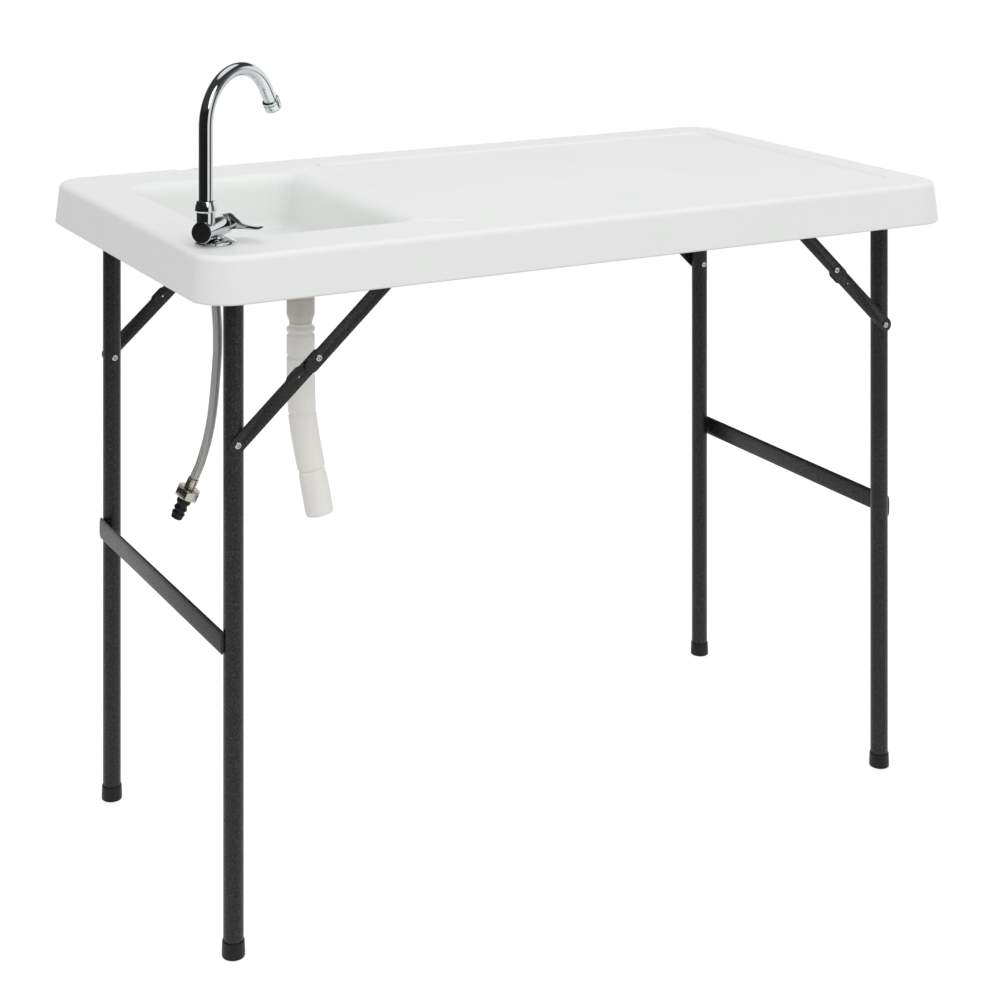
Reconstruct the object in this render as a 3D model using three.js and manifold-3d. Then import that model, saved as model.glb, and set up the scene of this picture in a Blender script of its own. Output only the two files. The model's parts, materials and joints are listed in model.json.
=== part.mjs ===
// Folding fish cleaning table: a moulded top with a sink, two folding leg frames,
// a goose-neck faucet with its supply hose, and a drain with a sectional hose.
// Millimetres, +Z up. The origin is on the floor under the middle of the top,
// +X runs along the length away from the sink, +Y runs to the back edge.

import * as THREE from 'three';
import { mergeVertices } from 'three/addons/utils/BufferGeometryUtils.js';
import Module from 'manifold-3d';

const wasm = await Module();
wasm.setup();

// Shared clearances and counts

const GAP = 0.3; // between two pieces that rest on, hold or pass each other
const RUNNING_GAP = 0.6; // between the two leg frames when they lie folded side by side
const OVERRUN = 2; // how far a cutter reaches past the face that it cuts
const ROUND_SIDES = 20;
const SMALL_SIDES = 12;
const HEXAGON_SIDES = 6;
const CORNER_STEPS = 7;

// Table top

const TOP_LENGTH = 1143;
const TOP_WIDTH = 620;
const TOP_HEIGHT = 864;
const TOP_CORNER_RADIUS = 50;
const TOP_EDGE_ROUND = 8.5;
const TOP_EDGE_STEPS = 4;
const PANEL_THICKNESS = 19;
const SKIRT_HEIGHT = 57.5;
const SKIRT_THICKNESS = 30;
const SKIRT_DRAFT = 5.5;
const SKIRT_LIP_ROUND = 3;

// Sink, moulded into the top

const SINK_LENGTH = 269;
const SINK_SIDE_CLEARANCE = 12.85; // from the tub's outside to the nearest brace
const SINK_DEPTH = 76;
const SINK_CORNER_RADIUS = 38;
const SINK_WALL = 5;
const SINK_END_MARGIN = 73.5; // from the left end of the top to the sink's rim
const SINK_FLOOR_INSET = 31; // from the rim to the edge of the flat floor
// Each pair is a share of the floor inset and a share of the depth, from the rim to the floor
const sinkWallShares = [
  [0, 0], [0.19, 0.026], [0.39, 0.079], [0.52, 0.158], [0.58, 0.25], [0.71, 0.88], [0.81, 0.96], [1, 1],
];
const TUB_FIRST_LEVEL = 3; // the level of the sink's wall where the tub's outside leaves the panel

// Work panel, its drain groove and channels, and the dip in the back rim

const WORK_GAP = 49; // from the sink's rim to the work panel
const WORK_END_MARGIN = 50.5;
const WORK_SIDE_MARGIN = 64;
const WORK_CORNER_RADIUS = 30;
const WORK_DEPTH = 2.5;
const GROOVE_WIDTH = 8;
const GROOVE_DEPTH = 2;
const CHANNEL_WIDTH = 14;
const CHANNEL_DEPTH = 3;
const RIM_DIP_WIDTH = 34;
const RIM_DIP_DEPTH = 3;
const RIM_DIP_LENGTH = 30;

// Leg frames

const TUBE_DIAMETER = 25;
const TUBE_WALL = 1.2;
const LEFT_LEG_MARGIN = 64.1; // from the end of the top to the legs
const RIGHT_LEG_MARGIN = 49.95;
const PIVOT_DROP = 15; // from the panel's underside to the folding axis
const LEG_TOP_RISE = 8; // from the folding axis to the top of the tube
const AXLE_DIAMETER = 10;
const AXLE_END = 2.5; // how far the axle rod stands out of its brackets
const FOOT_TOP_DIAMETER = 27.4;
const FOOT_DIAMETER = 28.6;
const FOOT_HEIGHT = 20;
const FOOT_FLOOR = 4;
const BAR_HEIGHT = 29;
const BAR_THICKNESS = 5;
const BAR_END_REACH = 2; // how far the bar runs past the middle of each leg
const BAR_WIDTH_FLAT_SHARE = 0.3; // share of the bar's height that is flat, the rest is rounded
const LEFT_BAR_ABOVE_FLOOR = 383.5;
const RIGHT_BAR_ABOVE_FLOOR = 376.5;

// Brackets under the top

const HINGE_EAR_WIDTH = 34;
const HINGE_EAR_THICKNESS = 2.25;
const HINGE_FLANGE_WIDTH = 11;
const HINGE_FLANGE_THICKNESS = 2;
const ANCHOR_WIDTH = 17;
const ANCHOR_THICKNESS = 1.5;
const ANCHOR_FLANGE_WIDTH = 16;
const ANCHOR_SKIRT_CLEARANCE = 2.35; // from an anchor's flange to the inside of the skirt

// Folding braces

const LINK_WIDTH = 20;
const LINK_THICKNESS = 2;
const LINK_END_PAST_ELBOW = 22; // the upper link, past the elbow rivet
const STOP_EAR_LENGTH = 24; // the wider stretch of the lower link
const STOP_EAR_RISE = 2.3;
const STOP_EAR_RAMP = 4;
const STOP_HOLE_DIAMETER = 2.4;
const STOP_HOLE_FROM_ELBOW = 33;
const RIVET_DIAMETER = 6;
const RIVET_HEAD_DIAMETER = 8.6;
const RIVET_HEAD_HEIGHT = 1.2;
const LEFT_BRACE_DROP = 205.5; // from the folding axis down the leg to the brace's rivet
const LEFT_BRACE_REACH = 231; // from the folding axis along the top to the brace's anchor
const LEFT_EAR_START = 48; // from the elbow down the lower link to the far end of its ear
const RIGHT_BRACE_DROP = 183.5;
const RIGHT_BRACE_REACH = 189.5;
const RIGHT_EAR_START = 20;

// Faucet

const FAUCET_END_MARGIN = 50.8; // from the left end of the top to the shank
const FAUCET_LEG_CLEARANCE = 24.95; // from the middle of the left front leg back to the shank
const FAUCET_TURN = THREE.MathUtils.degToRad(42); // from the length of the top to the barrel
const BASE_DIAMETER = 52;
const BASE_HEIGHT = 5.5;
const baseDomeShares = [[0, 0], [1, 0], [1, 0.25], [0.93, 0.55], [0.75, 0.85], [0.52, 1], [0, 1]];
const DECK_WASHER_DIAMETER = 36;
const DECK_WASHER_THICKNESS = 1.5;
const SHANK_DIAMETER = 14;
const SHANK_BORE = 8;
const SHANK_SOCKET_DEPTH = 3.5; // how far the shank stands in the neck
const SHANK_BELOW_PANEL = 30;
const DECK_HOLE_DIAMETER = 15;
const DECK_NUT_FLATS = 22;
const DECK_NUT_HEIGHT = 8.2;
const NECK_DIAMETER = 22;
const BARREL_DIAMETER = 26.5;
const BARREL_AXIS_HEIGHT = 19.4; // above the top
const BARREL_FRONT = 38.6; // from the shank's axis to the capped front end
const BARREL_BACK = 14; // from the shank's axis to the lever's end
const RISER_OFFSET = 27; // from the shank's axis to the spout's axis
const RISER_BOSS_DIAMETER = 22.7;
const RISER_BOSS_RISE = 11; // above the barrel's crest
const RISER_BORE = 10;
const END_CAP_DIAMETER = 25;
const END_CAP_THICKNESS = 2.5;
const CARTRIDGE_DIAMETER = 16;
const CARTRIDGE_LENGTH = 29;
const CARTRIDGE_STEM_DIAMETER = 8;
const CARTRIDGE_STEM_LENGTH = 8;
const SPOUT_NUT_DIAMETER = 26.8;
const SPOUT_NUT_HEIGHT = 13;
const spoutNutShares = [[0, 0], [0.95, 0], [1, 0.12], [0.98, 0.26], [0.72, 1], [0, 1]];
const SPOUT_DIAMETER = 17.3;
const SPOUT_WALL = 1.5;
const SPOUT_STRAIGHT = 101.5; // from the boss to the start of the bend
const SPOUT_BEND_RADIUS = 64;
const SPOUT_BEND = THREE.MathUtils.degToRad(148.4);
const SPOUT_TURN = THREE.MathUtils.degToRad(29); // from the length of the top to the spout's reach
const SPOUT_TAIL = 17; // from the bend to the aerator
const SPOUT_STEPS = 32;
const AERATOR_DIAMETER = 22.5;
const AERATOR_LENGTH = 14.5;
const AERATOR_BORE = 15;
const aeratorShares = [[0, 0], [0.86, 0], [1, 0.12], [1, 0.88], [0.92, 1], [0, 1]];
const LEVER_HUB_DIAMETER = 26;
const LEVER_HUB_LENGTH = 13.7;
const LEVER_REACH = 53.5; // from the barrel's axis to the tip
const LEVER_RISE = 13.7; // from the barrel's axis to the lever's crown
const LEVER_BLADE_WIDTH = 13;
// Each pair is a share of the reach and a share of the rise, round the lever's side view
const leverOutlineShares = [
  [0.03, 1], [0.13, 0.99], [0.21, 0.8], [0.29, 0.53], [0.37, 0.31], [0.47, 0.18], [0.62, 0.095],
  [0.78, 0.05], [0.93, 0.015], [1, -0.11], [0.96, -0.22], [0.88, -0.255], [0.67, -0.24], [0.47, -0.24],
  [0.26, -0.33], [0.13, -0.58],
];

// Supply hose, which hangs from the shank; its route is from the ferrule down

const HOSE_DIAMETER = 11.5;
const HOSE_SIDES = 10;
const HOSE_STEPS = 18;
const hoseRoute = [
  [-519.5, -217, 796.7], [-519.7, -216.9, 786], [-519, -217.3, 774], [-518.3, -217.6, 760],
  [-518.1, -217.7, 745], [-518.4, -217.6, 728], [-519.3, -217.1, 711], [-520.4, -216.5, 695],
  [-521.6, -215.9, 679], [-523, -215.2, 664], [-524.7, -214.3, 649], [-527, -213.1, 634],
  [-530, -211.6, 619], [-533.4, -209.8, 605.5], [-537.4, -207.7, 591.5], [-540.5, -206.2, 583.5],
  [-543.6, -204.5, 575.6],
];
const TOP_FERRULE_DIAMETER = 15.5;
const TOP_FERRULE_LENGTH = 17.7;
const END_FERRULE_DIAMETER = 14;
const END_FERRULE_LENGTH = 13.6;
const HOSE_NUT_FLATS = 27.7;
const HOSE_NUT_HEIGHT = 11;
const HOSE_FITTING_BORE = 6;
const CONNECTOR_DIAMETER = 17.8;
const CONNECTOR_LENGTH = 28;
// Each pair is a share of the radius and a share of the length, from the nut to the tip
const connectorShares = [
  [0, 0], [1, 0], [1, 0.26], [0.78, 0.32], [0.78, 0.45], [0.94, 0.5], [0.94, 0.58], [0.76, 0.62],
  [0.76, 0.7], [0.92, 0.74], [0.92, 0.82], [0.76, 0.86], [0.84, 0.9], [0.78, 1], [0, 1],
];

// Drain

const DRAIN_OFFSET_X = 5; // from the middle of the sink
const DRAIN_FRONT_MARGIN = 98; // from the sink's front rim to the drain
const STRAINER_FLANGE_DIAMETER = 60;
const STRAINER_FLANGE_THICKNESS = 2;
const STRAINER_BODY_DIAMETER = 44;
const STRAINER_LENGTH = 30; // below the sink's floor
const STRAINER_CUP_DEPTH = 3;
const STRAINER_FLOOR = 3;
const STRAINER_WALL = 2.5;
const STRAINER_HOLE_DIAMETER = 6;
const STRAINER_HOLE_COUNT = 6;
const STRAINER_HOLE_CIRCLE = 16;
const GASKET_DIAMETER = 60;
const GASKET_THICKNESS = 3;
const LOCK_NUT_DIAMETER = 62;
const LOCK_NUT_HEIGHT = 10;
const LOCK_NUT_SIDES = 8;
const TAILPIECE_DIAMETER = 36.8;
const TAILPIECE_LENGTH = 33.1;
const TAILPIECE_BORE = 24;
const tailpieceShares = [[0, 0], [0.82, 0], [0.82, 0.1], [0.88, 0.14], [1, 0.34], [1, 1], [0, 1]];
const DRAIN_HOSE_DIAMETER = 37;
const DRAIN_HOSE_BORE = 25;
const DRAIN_HOSE_SIDES = 12;
const drainRoute = [
  [-358.5, -110, 724.3], [-358.5, -110, 705], [-358.5, -110, 686], [-358.5, -110, 667],
  [-358.3, -110.1, 648], [-357.9, -110.3, 630], [-357.1, -110.7, 612], [-355.5, -111.6, 594],
  [-353, -112.8, 576], [-350.1, -114.4, 558], [-347, -116, 540], [-344.1, -117.4, 523],
  [-341.4, -118.8, 507], [-338.9, -120.2, 491], [-336.5, -121.4, 475.7],
];
// Each pair is a share of the hose's radius and a share of its length: sections with necks between
const drainHoseShares = [
  [0.8, 0], [0.8, 0.012], [1, 0.024], [1, 0.04], [0.79, 0.05], [1, 0.062], [1, 0.162], [0.85, 0.172],
  [1, 0.182], [1, 0.35], [0.99, 0.475], [0.86, 0.485], [1, 0.495], [1, 0.64], [1, 0.755], [0.86, 0.78],
  [0.96, 0.8], [1, 0.84], [1, 0.985], [0.96, 1],
];
const DRAIN_BORE_RINGS = 6;

// Colours

const COLOUR_MOULDED_WHITE = 0xe6e7e6;
const COLOUR_STEEL_PAINT = 0x333435;
const COLOUR_ZINC = 0xb9bbbc;
const COLOUR_CHROME = 0xd5d8da;
const COLOUR_BLACK_PLASTIC = 0x1c1c1c;
const COLOUR_HOSE_WHITE = 0xd8d8d4;
const COLOUR_TAILPIECE = 0xb6b0aa;
const COLOUR_BRAID = 0x9b9b98;
const COLOUR_NICKEL = 0xb8b4aa;
const COLOUR_RUBBER = 0x2a2a2a;

// Places that several pieces share

const TOP_END = TOP_LENGTH / 2;
const TOP_SIDE = TOP_WIDTH / 2;
const UNDERSIDE = TOP_HEIGHT - PANEL_THICKNESS;
const SKIRT_BOTTOM = TOP_HEIGHT - SKIRT_HEIGHT;
const BRACKET_TOP = UNDERSIDE - GAP;
const PIVOT_HEIGHT = UNDERSIDE - PIVOT_DROP;
const TUBE_RADIUS = TUBE_DIAMETER / 2;
const SINK_CENTRE = -TOP_END + SINK_END_MARGIN + SINK_LENGTH / 2;
const SINK_FLOOR = TOP_HEIGHT - SINK_DEPTH;
const TUB_BOTTOM = SINK_FLOOR - SINK_WALL;
const RISER_BOSS_HEIGHT = BARREL_AXIS_HEIGHT + BARREL_DIAMETER / 2 + RISER_BOSS_RISE;

// How far each brace layer starts from the middle of its leg, from the leg outwards
const LOWER_LINK_INSIDE = TUBE_RADIUS + GAP;
const LEG_RIVET_HEAD_INSIDE = LOWER_LINK_INSIDE + LINK_THICKNESS + GAP;
const UPPER_LINK_INSIDE = LEG_RIVET_HEAD_INSIDE + RIVET_HEAD_HEIGHT + GAP;
const ANCHOR_INSIDE = UPPER_LINK_INSIDE + LINK_THICKNESS + GAP;
// The frames sit this far to each side of the middle, so that they pass each other when folded
const FRAME_SHIFT = (UPPER_LINK_INSIDE + LINK_THICKNESS + RUNNING_GAP + FOOT_DIAMETER / 2) / 2;

// The frames take the width that the skirt leaves, and the sink the width between the braces
const FRAME_SIDE_ROOM = SKIRT_THICKNESS + ANCHOR_SKIRT_CLEARANCE + ANCHOR_FLANGE_WIDTH + ANCHOR_INSIDE;
const LEG_SPREAD = TOP_WIDTH - 2 * (FRAME_SIDE_ROOM + FRAME_SHIFT); // between the two legs of one frame
const NEAREST_BRACE = LEG_SPREAD / 2 - FRAME_SHIFT + UPPER_LINK_INSIDE;
const SINK_WIDTH = 2 * (NEAREST_BRACE - SINK_SIDE_CLEARANCE - SINK_WALL);
const DRAIN_X = SINK_CENTRE + DRAIN_OFFSET_X;
const DRAIN_Y = DRAIN_FRONT_MARGIN - SINK_WIDTH / 2;
const FAUCET_X = FAUCET_END_MARGIN - TOP_END;
const FAUCET_Y = FAUCET_LEG_CLEARANCE - FRAME_SHIFT - LEG_SPREAD / 2;

const AXIS_Y = new THREE.Vector3(0, 1, 0);
const AXIS_Z = new THREE.Vector3(0, 0, 1);

const point = (x, y, z) => new THREE.Vector3(x, y, z);

// Geometry helpers

// A closed solid from any closed geometry: shared corners merged, slivers dropped, faces outwards
function solid(geometry) {
  const bare = geometry.clone();
  bare.deleteAttribute('normal');
  bare.deleteAttribute('uv');
  const merged = mergeVertices(bare);
  const places = merged.attributes.position;
  const corners = merged.index.array;
  const triangles = [];
  let volume = 0;
  for (let i = 0; i < corners.length; i += 3) {
    const [a, b, c] = [corners[i], corners[i + 1], corners[i + 2]];
    if (a === b || b === c || c === a) continue;
    triangles.push(a, b, c);
    const [pa, pb, pc] = [a, b, c].map((k) => point().fromBufferAttribute(places, k));
    volume += pa.dot(pb.cross(pc));
  }
  if (volume < 0) triangles.reverse();
  const mesh = new wasm.Mesh({
    numProp: 3,
    vertProperties: new Float32Array(places.array),
    triVerts: new Uint32Array(triangles),
  });
  return new wasm.Manifold(mesh);
}

// The geometry of a solid, ready for a mesh
function geometryOf(body) {
  const mesh = body.getMesh();
  const geometry = new THREE.BufferGeometry();
  geometry.setAttribute('position', new THREE.BufferAttribute(mesh.vertProperties, 3));
  geometry.setIndex(new THREE.BufferAttribute(mesh.triVerts, 1));
  geometry.computeVertexNormals();
  return geometry;
}

function join(first, ...others) {
  return others.reduce((body, other) => body.add(other), first);
}

function cut(first, ...others) {
  return others.reduce((body, other) => body.subtract(other), first);
}

// A round bar between two points
function rod(diameter, from, to, sides = ROUND_SIDES) {
  const run = point().subVectors(to, from);
  const shape = new THREE.CylinderGeometry(diameter / 2, diameter / 2, run.length(), sides);
  shape.applyQuaternion(new THREE.Quaternion().setFromUnitVectors(AXIS_Y, run.clone().normalize()));
  const middle = point().addVectors(from, to).multiplyScalar(1 / 2);
  shape.translate(middle.x, middle.y, middle.z);
  return solid(shape);
}

// A round bar along Z on the local axis
function post(diameter, bottom, top, sides = ROUND_SIDES) {
  return rod(diameter, point(0, 0, bottom), point(0, 0, top), sides);
}

// A box from its lowest to its highest corner
function block(low, high) {
  const size = point().subVectors(high, low);
  const shape = new THREE.BoxGeometry(size.x, size.y, size.z);
  const middle = point().addVectors(low, high).multiplyScalar(1 / 2);
  shape.translate(middle.x, middle.y, middle.z);
  return solid(shape);
}

// A turned solid on the local Z axis, its outline given as shares of a radius and a height
function turned(shares, diameter, height, sides = ROUND_SIDES) {
  const outline = shares.map(([across, up]) => new THREE.Vector2((across * diameter) / 2, up * height));
  const shape = new THREE.LatheGeometry(outline, sides);
  shape.rotateX(Math.PI / 2);
  return solid(shape);
}

// A hexagonal bar on the local Z axis with two flats facing along Y
function hexagon(flats, bottom, top) {
  return post(flats / Math.cos(Math.PI / HEXAGON_SIDES), bottom, top, HEXAGON_SIDES);
}

// A geometry from rings of equal count: capped at both ends, or closed into a sleeve
function skin(rings, sleeve = false) {
  const count = rings[0].length;
  const places = rings.flat().flatMap((p) => [p.x, p.y, p.z]);
  const faces = [];
  const spans = sleeve ? rings.length : rings.length - 1;
  for (let r = 0; r < spans; r += 1) {
    const here = r * count;
    const next = ((r + 1) % rings.length) * count;
    for (let i = 0; i < count; i += 1) {
      const j = (i + 1) % count;
      faces.push(here + i, here + j, next + j, here + i, next + j, next + i);
    }
  }
  if (!sleeve) {
    const last = (rings.length - 1) * count;
    for (let i = 1; i < count - 1; i += 1) faces.push(0, i + 1, i, last, last + i, last + i + 1);
  }
  const geometry = new THREE.BufferGeometry();
  geometry.setAttribute('position', new THREE.Float32BufferAttribute(places, 3));
  geometry.setIndex(faces);
  return geometry;
}

// One level ring of a rounded rectangle
function roundedRing(centreX, halfLength, halfWidth, radius, height) {
  const ring = [];
  const corners = [[1, 1], [-1, 1], [-1, -1], [1, -1]];
  corners.forEach(([sideX, sideY], corner) => {
    for (let step = 0; step <= CORNER_STEPS; step += 1) {
      const turn = ((corner + step / CORNER_STEPS) * Math.PI) / 2;
      const x = centreX + sideX * (halfLength - radius) + radius * Math.cos(turn);
      const y = sideY * (halfWidth - radius) + radius * Math.sin(turn);
      ring.push(point(x, y, height));
    }
  });
  return ring;
}

// A solid of stacked rounded rectangles, each level an inset and a height
function tray(centreX, length, width, radius, levels) {
  const rings = levels.map(([inset, height]) => (
    roundedRing(centreX, length / 2 - inset, width / 2 - inset, radius - inset, height)
  ));
  return solid(skin(rings));
}

// A lying cylinder that cuts a trough of a given width and depth into a surface
function trough(from, to, width, depth, surface) {
  const radius = (depth * depth + (width * width) / 4) / (2 * depth);
  const height = surface - depth + radius;
  const start = point(from.x, from.y, height);
  const end = point(to.x, to.y, height);
  return rod(2 * radius, start, end, 2 * ROUND_SIDES);
}

// A flat plate in the XZ plane, its outline a shape in that plane, centred on y = 0
function plate(shape, thickness) {
  const geometry = new THREE.ExtrudeGeometry(shape, {
    depth: thickness, bevelEnabled: false, curveSegments: CORNER_STEPS,
  });
  geometry.rotateX(Math.PI / 2);
  geometry.translate(0, thickness / 2, 0);
  return solid(geometry);
}

function roundHole(x, z, diameter) {
  const hole = new THREE.Path();
  hole.absarc(x, z, diameter / 2, 0, 2 * Math.PI, true);
  return hole;
}

// Finishes

function finish(color, roughness, metalness) {
  return new THREE.MeshStandardMaterial({ color, roughness, metalness });
}

const mouldedWhite = finish(COLOUR_MOULDED_WHITE, 0.5, 0);
const steelPaint = finish(COLOUR_STEEL_PAINT, 0.55, 0.3);
const zinc = finish(COLOUR_ZINC, 0.35, 1);
const chrome = finish(COLOUR_CHROME, 0.08, 1);
const blackPlastic = finish(COLOUR_BLACK_PLASTIC, 0.6, 0);
const hoseWhite = finish(COLOUR_HOSE_WHITE, 0.5, 0);
const greyPlastic = finish(COLOUR_TAILPIECE, 0.5, 0);
const braid = finish(COLOUR_BRAID, 0.4, 0.9);
const nickel = finish(COLOUR_NICKEL, 0.3, 1);
const rubber = finish(COLOUR_RUBBER, 0.8, 0);

function addPiece(parent, name, body, material) {
  const mesh = new THREE.Mesh(geometryOf(body), material);
  mesh.name = name;
  parent.add(mesh);
  return mesh;
}

// Table top with its sink

function topLevels() {
  const lip = SKIRT_LIP_ROUND;
  const levels = [
    [lip, SKIRT_BOTTOM],
    [lip * (1 - Math.SQRT1_2), SKIRT_BOTTOM + lip * (1 - Math.SQRT1_2)],
    [0, SKIRT_BOTTOM + lip],
  ];
  for (let step = 0; step <= TOP_EDGE_STEPS; step += 1) {
    const turn = (step / TOP_EDGE_STEPS) * (Math.PI / 2);
    const inset = SKIRT_DRAFT + TOP_EDGE_ROUND * (1 - Math.cos(turn));
    levels.push([inset, TOP_HEIGHT - TOP_EDGE_ROUND * (1 - Math.sin(turn))]);
  }
  return levels;
}

function sinkHollow() {
  const levels = sinkWallShares.map(([inset, depth]) => (
    [inset * SINK_FLOOR_INSET, TOP_HEIGHT - depth * SINK_DEPTH]
  ));
  levels.unshift([0, TOP_HEIGHT + OVERRUN]);
  return tray(SINK_CENTRE, SINK_LENGTH, SINK_WIDTH, SINK_CORNER_RADIUS, levels);
}

function tubOutside() {
  const levels = sinkWallShares.slice(TUB_FIRST_LEVEL).map(([inset, depth]) => (
    [inset * SINK_FLOOR_INSET, TOP_HEIGHT - depth * (SINK_DEPTH + SINK_WALL)]
  ));
  const grow = 2 * SINK_WALL;
  return tray(SINK_CENTRE, SINK_LENGTH + grow, SINK_WIDTH + grow, SINK_CORNER_RADIUS + SINK_WALL, levels);
}

// The recess of the work panel, its deeper groove round the edge and the two channels to the sink
function workPanelCuts() {
  const start = SINK_CENTRE + SINK_LENGTH / 2 + WORK_GAP;
  const end = TOP_END - WORK_END_MARGIN;
  const middle = (start + end) / 2;
  const length = end - start;
  const width = TOP_WIDTH - 2 * WORK_SIDE_MARGIN;
  const bed = TOP_HEIGHT - WORK_DEPTH;
  const over = TOP_HEIGHT + OVERRUN;
  const recess = tray(middle, length, width, WORK_CORNER_RADIUS, [[0, over], [0, bed]]);
  const grooveOutside = tray(middle, length, width, WORK_CORNER_RADIUS, [[0, over], [0, bed - GROOVE_DEPTH]]);
  const grooveInside = tray(middle, length, width, WORK_CORNER_RADIUS, [
    [GROOVE_WIDTH, over + OVERRUN], [GROOVE_WIDTH, bed - GROOVE_DEPTH - OVERRUN],
  ]);
  const groove = cut(grooveOutside, grooveInside);
  const sinkRim = start - WORK_GAP;
  const channels = [-1, 1].map((side) => {
    const atPanel = point(start + GROOVE_WIDTH, side * (width / 2 - GROOVE_WIDTH), 0);
    const atSink = point(sinkRim - GROOVE_WIDTH, side * (SINK_WIDTH / 2 - GROOVE_WIDTH), 0);
    return trough(atPanel, atSink, CHANNEL_WIDTH, CHANNEL_DEPTH, TOP_HEIGHT);
  });
  return [recess, groove, ...channels];
}

function rimDip() {
  const inner = point(SINK_CENTRE, TOP_SIDE - RIM_DIP_LENGTH, 0);
  const outer = point(SINK_CENTRE, TOP_SIDE + OVERRUN, 0);
  return trough(inner, outer, RIM_DIP_WIDTH, RIM_DIP_DEPTH, TOP_HEIGHT);
}

function addTableTop(table) {
  const shell = tray(0, TOP_LENGTH, TOP_WIDTH, TOP_CORNER_RADIUS, topLevels());
  const bayLength = TOP_LENGTH - 2 * SKIRT_THICKNESS;
  const bayWidth = TOP_WIDTH - 2 * SKIRT_THICKNESS;
  const bayRadius = TOP_CORNER_RADIUS - SKIRT_THICKNESS;
  const bay = tray(0, bayLength, bayWidth, bayRadius, [[0, SKIRT_BOTTOM - OVERRUN], [0, UNDERSIDE]]);
  const deckHole = rod(
    DECK_HOLE_DIAMETER,
    point(FAUCET_X, FAUCET_Y, UNDERSIDE - OVERRUN),
    point(FAUCET_X, FAUCET_Y, TOP_HEIGHT + OVERRUN),
  );
  const drainHole = rod(
    STRAINER_BODY_DIAMETER + 2 * GAP,
    point(DRAIN_X, DRAIN_Y, TUB_BOTTOM - OVERRUN),
    point(DRAIN_X, DRAIN_Y, SINK_FLOOR + OVERRUN),
  );
  const moulding = join(cut(shell, bay), tubOutside());
  const body = cut(moulding, sinkHollow(), ...workPanelCuts(), rimDip(), deckHole, drainHole);
  addPiece(table, 'tabletop', body, mouldedWhite);
}

// Drain under the sink

function addDrain(table) {
  const drain = new THREE.Group();
  drain.position.set(DRAIN_X, DRAIN_Y, 0);
  table.add(drain);

  const flangeBottom = SINK_FLOOR + GAP;
  const flangeTop = flangeBottom + STRAINER_FLANGE_THICKNESS;
  const bodyBottom = SINK_FLOOR - STRAINER_LENGTH;
  const cupFloor = flangeBottom - STRAINER_CUP_DEPTH;
  const cupDiameter = STRAINER_BODY_DIAMETER - 2 * STRAINER_WALL;
  const holes = [];
  for (let i = 0; i < STRAINER_HOLE_COUNT; i += 1) {
    const turn = (2 * Math.PI * i) / STRAINER_HOLE_COUNT;
    const x = (STRAINER_HOLE_CIRCLE / 2) * Math.cos(turn);
    const y = (STRAINER_HOLE_CIRCLE / 2) * Math.sin(turn);
    holes.push(rod(STRAINER_HOLE_DIAMETER, point(x, y, bodyBottom), point(x, y, flangeTop), SMALL_SIDES));
  }
  const strainer = cut(
    join(post(STRAINER_FLANGE_DIAMETER, flangeBottom, flangeTop), post(STRAINER_BODY_DIAMETER, bodyBottom, flangeTop)),
    post(TAILPIECE_BORE, bodyBottom - OVERRUN, cupFloor - STRAINER_FLOOR),
    post(cupDiameter, cupFloor, flangeTop + OVERRUN),
    ...holes,
  );
  addPiece(drain, 'sink_strainer', strainer, chrome);

  const around = STRAINER_BODY_DIAMETER + 2 * GAP;
  const gasketTop = TUB_BOTTOM - GAP;
  const gasketBottom = gasketTop - GASKET_THICKNESS;
  const gasket = cut(
    post(GASKET_DIAMETER, gasketBottom, gasketTop),
    post(around, gasketBottom - OVERRUN, gasketTop + OVERRUN),
  );
  addPiece(drain, 'drain_gasket', gasket, rubber);

  const nutTop = gasketBottom - GAP;
  const nutBottom = nutTop - LOCK_NUT_HEIGHT;
  const lockNut = cut(
    post(LOCK_NUT_DIAMETER, nutBottom, nutTop, LOCK_NUT_SIDES),
    post(around, nutBottom - OVERRUN, nutTop + OVERRUN),
  );
  addPiece(drain, 'drain_lock_nut', lockNut, blackPlastic);

  const tailTop = bodyBottom - GAP;
  const tailBottom = tailTop - TAILPIECE_LENGTH;
  const tail = cut(
    turned(tailpieceShares, TAILPIECE_DIAMETER, TAILPIECE_LENGTH),
    post(TAILPIECE_BORE, -OVERRUN, TAILPIECE_LENGTH + OVERRUN),
  );
  addPiece(drain, 'drain_tailpiece', tail, greyPlastic).position.z = tailBottom;
}

// Rings of a sleeve along a route, its outside and its bore given as shares of the length
function sleeveAlong(route, outside, bore, sides) {
  const curve = new THREE.CatmullRomCurve3(route.map((place) => point(...place)), false, 'centripetal');
  const across = AXIS_Y;
  const ring = (radius, share) => {
    const middle = curve.getPointAt(share);
    const along = curve.getTangentAt(share);
    const sideways = point().crossVectors(across, along).normalize();
    const forwards = point().crossVectors(along, sideways);
    const places = [];
    for (let i = 0; i < sides; i += 1) {
      const turn = (2 * Math.PI * i) / sides;
      const place = middle.clone();
      place.addScaledVector(sideways, radius * Math.cos(turn));
      place.addScaledVector(forwards, radius * Math.sin(turn));
      places.push(place);
    }
    return places;
  };
  const outer = outside.map(([radius, share]) => ring(radius, share));
  const inner = bore.map(([radius, share]) => ring(radius, share));
  return solid(skin([...outer, ...inner], true));
}

function addDrainHose(table) {
  const outside = drainHoseShares.map(([across, along]) => [(across * DRAIN_HOSE_DIAMETER) / 2, along]);
  const bore = [];
  for (let i = DRAIN_BORE_RINGS; i >= 0; i -= 1) bore.push([DRAIN_HOSE_BORE / 2, i / DRAIN_BORE_RINGS]);
  addPiece(table, 'drain_hose', sleeveAlong(drainRoute, outside, bore, DRAIN_HOSE_SIDES), hoseWhite);
}

// Faucet

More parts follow.
